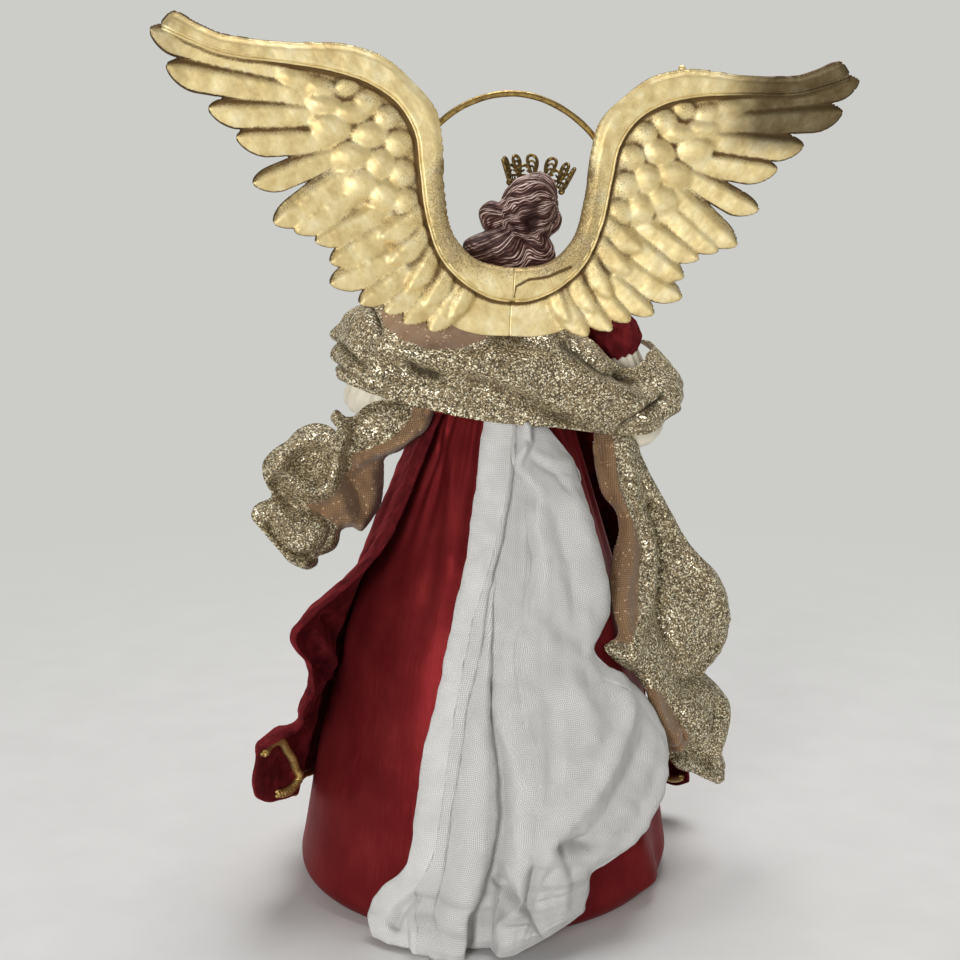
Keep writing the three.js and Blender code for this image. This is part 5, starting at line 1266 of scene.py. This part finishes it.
RIGHT_ROLLS = [
    (4.8, 7, [(58, 224), (63, 200), (66, 186), (71, 176), (72.5, 165), (70, 152), (63, 138), (52, 126)]),
    (2.6, -5, [(74, 186), (77.5, 168), (77, 154), (74, 140), (76, 124)]),
    (5, 4, [(72, 204), (84, 182), (95, 166), (106, 152)]), (2.4, -2.5, [(70, 200), (80, 180), (86, 168)]),
    (3, -4.5, [(109, 97), (99, 95), (90, 98), (78, 103)]), (6, 4.5, [(68, 110), (84, 92), (97, 80), (112, 64)]),
    (3, -4, [(80, 67), (91, 64), (103, 55)]), (3.6, 5, [(80, 61), (90, 55), (100, 49), (110, 44)]),
    (4.2, 4.5, RIGHT_STRIP), (2, -3.5, [(46, 222), (48, 206), (51, 194)]), (4, 5, RIGHT_WEDGE),
    (3, 4, [(77, 76), (83, 79), (86, 74), (80, 71)]), (3.5, -3, [(112, 118), (108, 106), (98, 100)]),
    (3, -3, [(118, 88), (110, 84), (104, 74)])]
RIGHT_LINING = [(124, 44), (131, 52), (137, 58), (149, 61), (161, 64), (173, 64), (182, 61), (194, 56.5), (224, 53)]
WEDGE_LINING = [(62, 106), (71, 99), (78, 88), (88, 73), (82, 68), (73, 68), (62, 90)]
TAIL_STEP = 0.7


def relief(q, domes, rolls):
    h = np.zeros(q.shape[:-1])
    for cx, cz, rx, rz, high in domes:
        r = np.hypot((q[..., 0] - cx) / rx, (q[..., 1] - cz) / rz)
        h = np.maximum(h, high * np.sqrt(np.maximum(1 - r * r, 0)))
    for width, high, line in rolls:
        h = h + high * hump(gap_to(q, curve(line, 30)), width)
    return h


def tail(side, outline, domes, rolls, base, lining):
    """A length of stiffened stole, bulged out from a base surface inside its outline."""
    loop = curve(outline + outline[:1], 260)[:-1]
    q = plane_grid(loop.min(0) - 2, loop.max(0) + 2, TAIL_STEP)
    gap = gap_to(q, np.concatenate([loop, loop[:1]]))
    depth = np.where(inside(q, loop), gap, -gap)
    q, mask, quads, border = shell(q, depth, TAIL_STEP)
    flat = with_depth(q)
    h = relief(q, domes, rolls) - 5.5 * (1 - smooth(depth, -0.5, 5.5)) ** 1.5
    h = h + 0.5 * wobble(flat, 11, 51) + 0.3 * wobble(flat, 5, 52)
    p = np.stack([q[..., 0], base(q[..., 0], q[..., 1]) - h, q[..., 1]], -1)
    half = rearward(normals(p)[mask]) * STOLE_THICK / 2
    mesh = np.concatenate([p[mask] + half, p[mask] - half]), two_sided(quads, border, int(mask.sum()))
    copper = lining(q)[mask]
    kinds = np.concatenate([copper[quads].mean(1) > 0.5, np.ones(len(quads), bool), copper[border].mean(1) > 0.5])
    return piece(f"stole_tail_{side}_glitter", mesh, [GLITTER, COPPER], [f"stole_tail_{side}"],
                 uv=np.concatenate([q[mask]] * 2), material_of=kinds)


def tails():
    def left_base(x, z):
        return -17.5 + 12 * smooth(x, -90, -60) * (1 - smooth(z, 212, 228))

    def left_lining(q):
        near = (gap_to(q, curve(LEFT_STRIP, 40)) < 4.2) | ((q[..., 0] > -44) & (q[..., 1] > 226))
        return near | inside(q, LEFT_LINING)

    def right_base(x, z):
        """On the skirt's back, then straight on past its side, and softly kept 14 mm behind the middle."""
        turn_x = axis_x(z) + 0.72 * (skirt_radius(np.maximum(z, 0)) + PLEAT_DEPTH + 4)
        laid = np.where(x < turn_x, behind_skirt(x, z, 4), behind_skirt(turn_x, z, 4) + 0.8 * (x - turn_x))
        return -4 * np.log(np.exp(-laid / 4) + math.exp(14 / 4))

    def right_lining(q):
        strip = (q[..., 0] < table(RIGHT_LINING, q[..., 1])) & (q[..., 1] > 129)
        return strip | inside(q, WEDGE_LINING)

    obj = tail("left", LEFT_TAIL, LEFT_DOMES, LEFT_ROLLS, left_base, left_lining)
    obj = tail("right", RIGHT_TAIL, RIGHT_DOMES, RIGHT_ROLLS, right_base, right_lining)


# Torso by share of its height: half width and half depth
TORSO = [(0, 26, 20), (0.2, 28, 22), (0.36, 29, 22), (0.6, 36, 24), (0.8, 39, 24), (0.92, 33, 21), (1, 20, 15)]
BODICE_OFF = 1.7
TOP = np.array([axis_x(TORSO_TOP_Z), 0, TORSO_TOP_Z])
# Shoulder, elbow, and the sign of the way in towards the middle
ARMS = {"left": (TOP + [-53, -8, -18], TOP + [-64, 2, -53], 1),
        "right": (TOP + [53, -8, -24], TOP + [68, 2, -68], -1)}
PUFF_R = 14
# Radius by share of the length
SLEEVE = [(0, 10), (0.2, 11.3), (0.45, 13), (0.68, 15), (0.84, 14.6), (0.94, 11.5), (1, 5)]
FOREARM = [(0, 2.5), (0.06, 6.4), (0.16, 8.8), (0.3, 7.6), (0.7, 7.0), (0.9, 5.6), (0.95, 6.3), (1, 5.0)]
FOREARM_IN, FOREARM_LIFT = math.radians(15), math.radians(10)
FOREARM_BACK, FOREARM_LONG, WRIST_AT = 8.6, 44, 44.3
PALM_R = [3.4, 3.6, 3.6, 3.4, 3.2, 3.0, 3.0, 2.6]
# Fingers: height on the palm, reach and bend
FINGERS = [(3.9, 23.5, 0.5), (1.4, 26.5, 0.2), (-1.2, 25.5, -0.3), (-3.6, 21.5, -0.9)]


def bodice():
    t, a = spans(60, 120, 0.04, 0.985)
    z = TORSO_FOOT_Z + (TORSO_TOP_Z - TORSO_FOOT_Z) * t
    w, d = (table([(row[0], row[k]) for row in TORSO], t) + BODICE_OFF for k in (1, 2))
    bust = 3.2 * mound(np.abs(np.sin(a)) - 0.42, 0.3, t - 0.66, 0.14) * (np.cos(a) > 0)
    p = np.stack([axis_x(z) + np.sin(a) * w, np.cos(a) * (d + bust), z], -1)
    p = p + normals(p) * (0.25 * wobble(p, 7, 61))[..., None]
    mesh = p.reshape(-1, 3), closed_faces(*t.shape)
    piece("bodice", mesh, [VELVET], ["velvet_bodice", "torso"])


def arms():
    d = directions(60, 96)
    bearing, up = np.arctan2(d[..., 0], d[..., 1]), np.arccos(np.clip(d[..., 2], -1, 1))
    r = PUFF_R + 0.7 * np.cos(16 * bearing + np.sin(3 * up)) * np.sin(up) + 0.5 * wobble(d * PUFF_R, 6, 71)
    for side, (shoulder, elbow, inward) in ARMS.items():
        p = shoulder + d * r[..., None] * [1, 1, 0.9]
        obj = piece(f"shoulder_velvet_{side}", (p.reshape(-1, 3), closed_faces(60, 96)), [VELVET],
                    [f"shoulder_puff_{side}"])
        mesh = limb(shoulder, elbow + (elbow - shoulder) * 0.26, SLEEVE, 96, 15, 0.55, 3)
        piece(f"sleeve_cream_{side}", mesh, [CREAM], [f"sleeve_{side}"])
        turn = FOREARM_IN * inward
        way = np.array([math.sin(turn) * math.cos(FOREARM_LIFT), math.cos(turn) * math.cos(FOREARM_LIFT),
                        math.sin(FOREARM_LIFT)])
        mesh = limb(elbow - way * FOREARM_BACK, elbow + way * FOREARM_LONG, FOREARM, 72, 11, 0.3, 5)
        body = f"{side}_forearm"
        piece(f"forearm_cream_{side}", mesh, [CREAM], [f"forearm_{side}"], body)
        hand(side, elbow + way * WRIST_AT, way, inward)


def hand(side, wrist, way, inward):
    """An open resin hand: palm, four fingers and a thumb, fused into one skin."""
    across = unit(np.cross(way, [0, 0, 1.0]))
    up = np.cross(across, way)

    def at(length, high, out):
        return wrist + way * length + up * high + across * out * inward

    parts = [tube_mesh(curve([at(-1, 0, 0), at(3, 0, 0), at(9, 0, 0.4)], 8), PALM_R, 12)]
    for high, reach, bend in FINGERS:
        path = [at(3, high * 0.5, 0), at(11, high * 0.95, 0), at(mix(11, reach, 0.55), high * 1.1 + bend, 0.9),
                at(reach, high * 1.12 + bend, 2.6)]
        parts.append(tube_mesh(curve(path, 16), np.linspace(2.3, 1.25, 16), 10))
    thumb = curve([at(4, 2.5, 0.5), at(9, 6.2, 1.8), at(15.5, 8.2, 3.6)], 14)
    parts.append(tube_mesh(thumb, np.linspace(2.5, 1.35, 14), 10))
    obj = piece(f"hand_resin_{side}", gather(parts), [SKIN], [f"hand_{side}"], f"{side}_forearm")
    skin = obj.modifiers.new("skin", "REMESH")
    skin.mode = "VOXEL"
    skin.voxel_size = 0.45 * MM
    skin.use_smooth_shade = True
    soften = obj.modifiers.new("soften", "SMOOTH")
    soften.factor = 0.5
    soften.iterations = 4


# Head, in its own frame: +Y is the way it faces
HEAD_AT = TOP + [0, 0, 4.5]
HEAD_C = np.array([0, 2, 34.5])
HEAD_R = np.array([13.2, 16, 17.5])
HEAD_ROWS, HEAD_COLUMNS = 150, 200
FACE_WIDE, FACE_TALL = 0.91, 0.854
HEAD_TILT, HEAD_TURN = math.radians(20), math.radians(-8)
NOSE = [(-9, 0), (-7.8, 0.9), (-6.6, 3.0), (-4, 2.3), (0, 1.1), (3, 0.4), (6, 0)]
# Rises and hollows of the face: height, place across and up, half width and half height
FACE_FORMS = [
    (0.8, 1.7, -6.9, 0.9, 0.9), (-1.5, 5.4, 0.6, 3.0, 2.2), (0.5, 5, 4.2, 4, 1.4), (1.15, 5.3, 0.2, 2.3, 1.25),
    (0.9, 7.6, -6, 3.4, 3.4), (-0.4, 0, -9.2, 0.7, 0.8), (0.9, 0, -11.0, 2.9, 0.75), (-0.75, 0, -12.0, 3.2, 0.35),
    (1.0, 0, -13.0, 2.3, 0.85), (-0.5, 0, -14.8, 2.6, 0.7), (1.5, 0, -17.4, 3.4, 2.4)]
LASH = [(2.7, -0.5), (4.0, -1.05), (5.4, -1.2), (6.8, -0.9), (8.0, -0.2)]
BROW = [(2.6, 4.1), (4.4, 4.9), (6.4, 5.0), (8.6, 4.0)]
NECK = [(0, 9.5), (0.25, 7.6), (0.6, 6.8), (1, 7.6)]
BUST = [(0, 18.4), (0.12, 19), (0.5, 17.2), (0.8, 12.5), (1, 8.4)]
HAIR_C = np.array([-2, -5, 27.0])
# Crown, left side curl, the hair that falls to the left, the middle and the right of the neck, and right side curl
HAIR_FORMS = [
    ((0.6, -1, 34.8), (15.0, 18.5, 19)), ((-16.7, -4, 25.7), (5.5, 6.5, 8)), ((-16, -8, 8.5), (10, 9, 8)),
    ((-2.2, -9, 10.8), (13, 10, 9)), ((8.4, -8, 16.8), (10, 9.5, 10)), ((12.5, -4, 34.5), (5, 7, 7))]
# Where the hair ends towards the face, by height
HAIR_LINE = [(0, 0), (14, 2), (26, 4), (40, 6.5), (46, 10.5), (50, 15), (56, 22)]


def in_head_frame(p):
    x, y = turned(p[..., 0], p[..., 1], -HEAD_TURN)
    x, z = turned(x, p[..., 2], HEAD_TILT)
    return np.stack([x, y, z], -1) + HEAD_AT


def head():
    p = directions(HEAD_ROWS, HEAD_COLUMNS) * HEAD_R
    x, y, z = p[..., 0], p[..., 1], p[..., 2]
    front = smooth(y, 1, 8)
    p[..., 0] = x * (1 - 0.26 * smooth(-z, 2.5, 17))
    x, z = p[..., 0] / FACE_WIDE, z / FACE_TALL

    def spot(cx, cz, wx, wz):
        return mound(np.abs(x) - cx, wx, z - cz, wz)

    out = hump(x, 1.0 + 0.13 * np.clip(2 - z, 0, 9)) * table(NOSE, z)
    for high, *form in FACE_FORMS:
        out = out + high * spot(*form)
    p[..., 1] = y + front * out * FACE_TALL
    values = {"lip": front * np.clip(spot(0, -11.1, 2.6, 0.75) + spot(0, -12.9, 2.2, 0.8), 0, 1),
              "blush": front * spot(7.6, -5.6, 3.2, 2.8)}
    skull = (p + HEAD_C).reshape(-1, 3)
    t, a = spans(30, 48)
    r = table(NECK, t)
    neck = np.stack([r * np.sin(a), t * 1.5 + r * np.cos(a), -3 + 29 * t], -1).reshape(-1, 3)
    t, a = spans(24, 72)
    r, z = table(BUST, t), TORSO_TOP_Z + 0.3 + 9 * t
    bust = np.stack([axis_x(z) + r * np.sin(a), 0.75 * r * np.cos(a), z], -1).reshape(-1, 3)
    mesh = gather([(in_head_frame(skull), closed_faces(HEAD_ROWS, HEAD_COLUMNS)),
                   (in_head_frame(neck), closed_faces(30, 48)), (bust, closed_faces(24, 72))])
    extra = np.zeros(len(mesh[0]) - len(skull))
    values = {key: np.concatenate([numbers.ravel(), extra]) for key, numbers in values.items()}
    piece("head_resin", mesh, [SKIN], ["head"], values=values)
    painted_lines(skull[skull[:, 1] > HEAD_C[1] + 6])


def painted_lines(face):
    """Closed lashes and brows, laid on the nearest points of the face."""
    parts = []
    for hand in (-1, 1):
        for line, lift, thick, start in ((LASH, 0.0, 0.16, 0.2), (BROW, -0.12, 0.24, 0.3)):
            path = []
            for cx, cz in line:
                x, z = hand * cx * FACE_WIDE, cz * FACE_TALL + HEAD_C[2]
                near = face[np.argmin((face[:, 0] - x) ** 2 + (face[:, 2] - z) ** 2)]
                path.append([x, near[1] + lift, z])
            radius = 0.12 + thick * np.sin(np.linspace(start, 3, 24))
            parts.append(tube_mesh(in_head_frame(curve(path, 24)), radius, 8))
    piece("painted_lines", gather(parts), [HAIR])


def ray_to(start, d, centre, radii):
    """Far distance along rays from start to an ellipsoid, or 0 where a ray misses it."""
    o = (start - np.asarray(centre, float)) / radii
    w = d / np.asarray(radii, float)
    a, b, c = (w * w).sum(-1), (w * o).sum(-1), (o * o).sum() - 1
    root = b * b - a * c
    return np.where(root > 0, (-b + np.sqrt(np.maximum(root, 0))) / a, 0)


def hair():
    """One skin round the hair's forms, with locks that swirl out from a pole on the crown."""
    rows, columns = 230, 320
    d = directions(rows, columns)
    r = np.max([ray_to(HAIR_C, d, *form) for form in HAIR_FORMS], axis=0)
    kernel = bell(2.5, 6)
    kernel /= kernel.sum()
    r = sum(k * np.roll(r, s, 1) for k, s in zip(kernel, range(-6, 7)))
    r = sum(k * r[np.clip(np.arange(rows) + s, 0, rows - 1)] for k, s in zip(kernel, range(-6, 7)))
    pole = unit(np.array([0.62, -0.15, 0.77]))
    side = unit(np.cross(pole, [0, 1, 0]))
    other = np.cross(pole, side)
    far = np.arccos(np.clip(d @ pole, -1, 1))
    ball = d * 20
    lie = np.arctan2(d @ other, d @ side) + 0.34 * far + 0.05 * np.sin(4.4 * far)
    lie = lie + 0.07 * wobble(ball, 15, 81) + 0.015 * wobble(ball, 6, 82)
    lock = np.abs(np.sin(lie * 6.5 + 0.5 * wobble(ball, 11, 83))) ** 0.7
    strand = np.abs(np.sin(lie * 24 + 0.8 * wobble(ball, 8, 84)))
    fine = np.abs(np.sin(lie * 58 + 1.2 * wobble(ball, 6, 85)))
    p = HAIR_C + d * r[..., None]
    hole = hump(np.linalg.norm((p - [1.5, -18, 30]) / [3.4, 6, 3.4], axis=-1), 1)
    locks = (1.5 * lock + 0.75 * strand + 0.4 * fine) * np.sin(far) ** 0.5
    full = r - 2.2 + (locks + 0.7 * wobble(ball, 12, 86) - 4.6 * hole)
    face = smooth(p[..., 1] - table(HAIR_LINE, p[..., 2]), -1.2, 1.2)
    under = np.maximum(ray_to(HAIR_C, d, HEAD_C, HEAD_R) - 2.5, 5)
    p = HAIR_C + d * mix(full, np.minimum(under, full), face)[..., None]
    ridge = np.clip((0.4 * strand + 0.6 * fine ** 2) * (0.45 + 0.55 * lock) - hole, 0, 1)
    mesh = in_head_frame(p).reshape(-1, 3), closed_faces(rows, columns)
    piece("hair_resin", mesh, [HAIR], ["hair"], values={"ridge": ridge})


TIARA_AT = np.array([18.3, -0.5, 343.5])
TIARA_TILT, TIARA_TURN = math.radians(6), math.radians(20)
TIARA_R = (13.2, 14.8)
TIARA_REACH = math.radians(112)
TIARA_FLARE = 0.42
TIARA_BAND = 2.4
# Loops on each side: angle from the front, height, half width and lean, in degrees, mm and radians
TIARA_LOOPS = [(13, 10.6, 0.2, 0.07), (44, 9.6, 0.17, 0.03), (75, 8.8, 0.16, 0.02), (103, 8.4, 0.15, 0.0)]


def tiara():
    """Filigree loops on an open band that flares out and ends behind the ears."""
    parts = []

    def wire(a, high, flare, thick, sides, closed=False):
        a, high, flare = np.broadcast_arrays(*(np.asarray(k, float) for k in (a, high, flare)))
        a = a + TIARA_TURN
        x, z = turned((TIARA_R[0] + flare) * np.sin(a), high + 3.2 * np.cos(a), TIARA_TILT)
        path = TIARA_AT + np.stack([x, (TIARA_R[1] + flare) * np.cos(a), z], -1)
        parts.append(tube_mesh(path, thick, sides, closed))

    def flared(a, high, thick, sides, closed=False):
        wire(a, high, TIARA_FLARE * high, thick, sides, closed)

    for high, thick in ((0, 0.8), (TIARA_BAND, 0.6)):
        flared(np.linspace(-TIARA_REACH, TIARA_REACH, 90), high, thick, 8)
    s = np.linspace(0, 1, 6)
    for a in np.linspace(-TIARA_REACH * 0.97, TIARA_REACH * 0.97, 27):
        wire(a + 0.05 * s, TIARA_BAND * s, s, 0.42, 6)
    t, s = bearings(44), np.linspace(0, 1, 22)
    lift = (1 - np.cos(t)) / 2
    for degrees, tall, wide, lean in TIARA_LOOPS:
        for hand in (-1, 1):
            a = hand * math.radians(degrees)
            for share, thick in ((1.0, 0.85), (0.72, 0.6), (0.46, 0.6)):
                width = wide * share * (0.3 + 0.7 * lift)
                high = 2.0 + tall * mix(0.08, 1, share) * lift
                flared(a + hand * lean * lift + width * np.sin(t), high, thick, 8, True)
            for way in (-1, 1):
                curl = a + way * (0.04 + 0.15 * s + 0.07 * np.cos(5.2 * s) * s)
                flared(curl, 2.4 + 3.6 * s + 1.2 * np.sin(5.2 * s), np.linspace(0.9, 0.55, 22), 6)
    # scrolls bridge the loops, and a block closes each end of the band
    for one, two in zip(TIARA_LOOPS, TIARA_LOOPS[1:]):
        for hand in (-1, 1):
            flared(hand * np.radians(mix(one[0] + 6, two[0] - 3, s)), 5.6 + 1.6 * np.sin(math.pi * s), 0.8, 6)
    for hand in (-1, 1):
        a = hand * np.linspace(TIARA_REACH - 0.06, TIARA_REACH + 0.05, 6)
        wire(a, np.linspace(0.2, 1.2, 6), 0.4, [1.3, 1.6, 1.7, 1.7, 1.6, 1.2], 8)
    piece("tiara", gather(parts), [TIARA_BRASS], ["coronet"])


for build in (waist_cord, satin_skirt, overskirt, bodice, arms, linen_train, stole_wrap, tails, head, hair, tiara,
              wings, halo):
    build()

# CAD solids that show as they are, by finish
PLAIN = {CARD: ["foot_ring", "tree_cone"], WOOD: ["cone_plug", "spine_post", "wing_tongue", "wing_socket"],
         STEEL: ["shoulder_wire", "forearm_wire_left", "forearm_wire_right"],
         GILT: ["halo_pad_left", "halo_pad_right"]}
for material, nodes in PLAIN.items():
    for node in nodes:
        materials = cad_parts[node].data.materials
        materials.clear()
        materials.append(material)
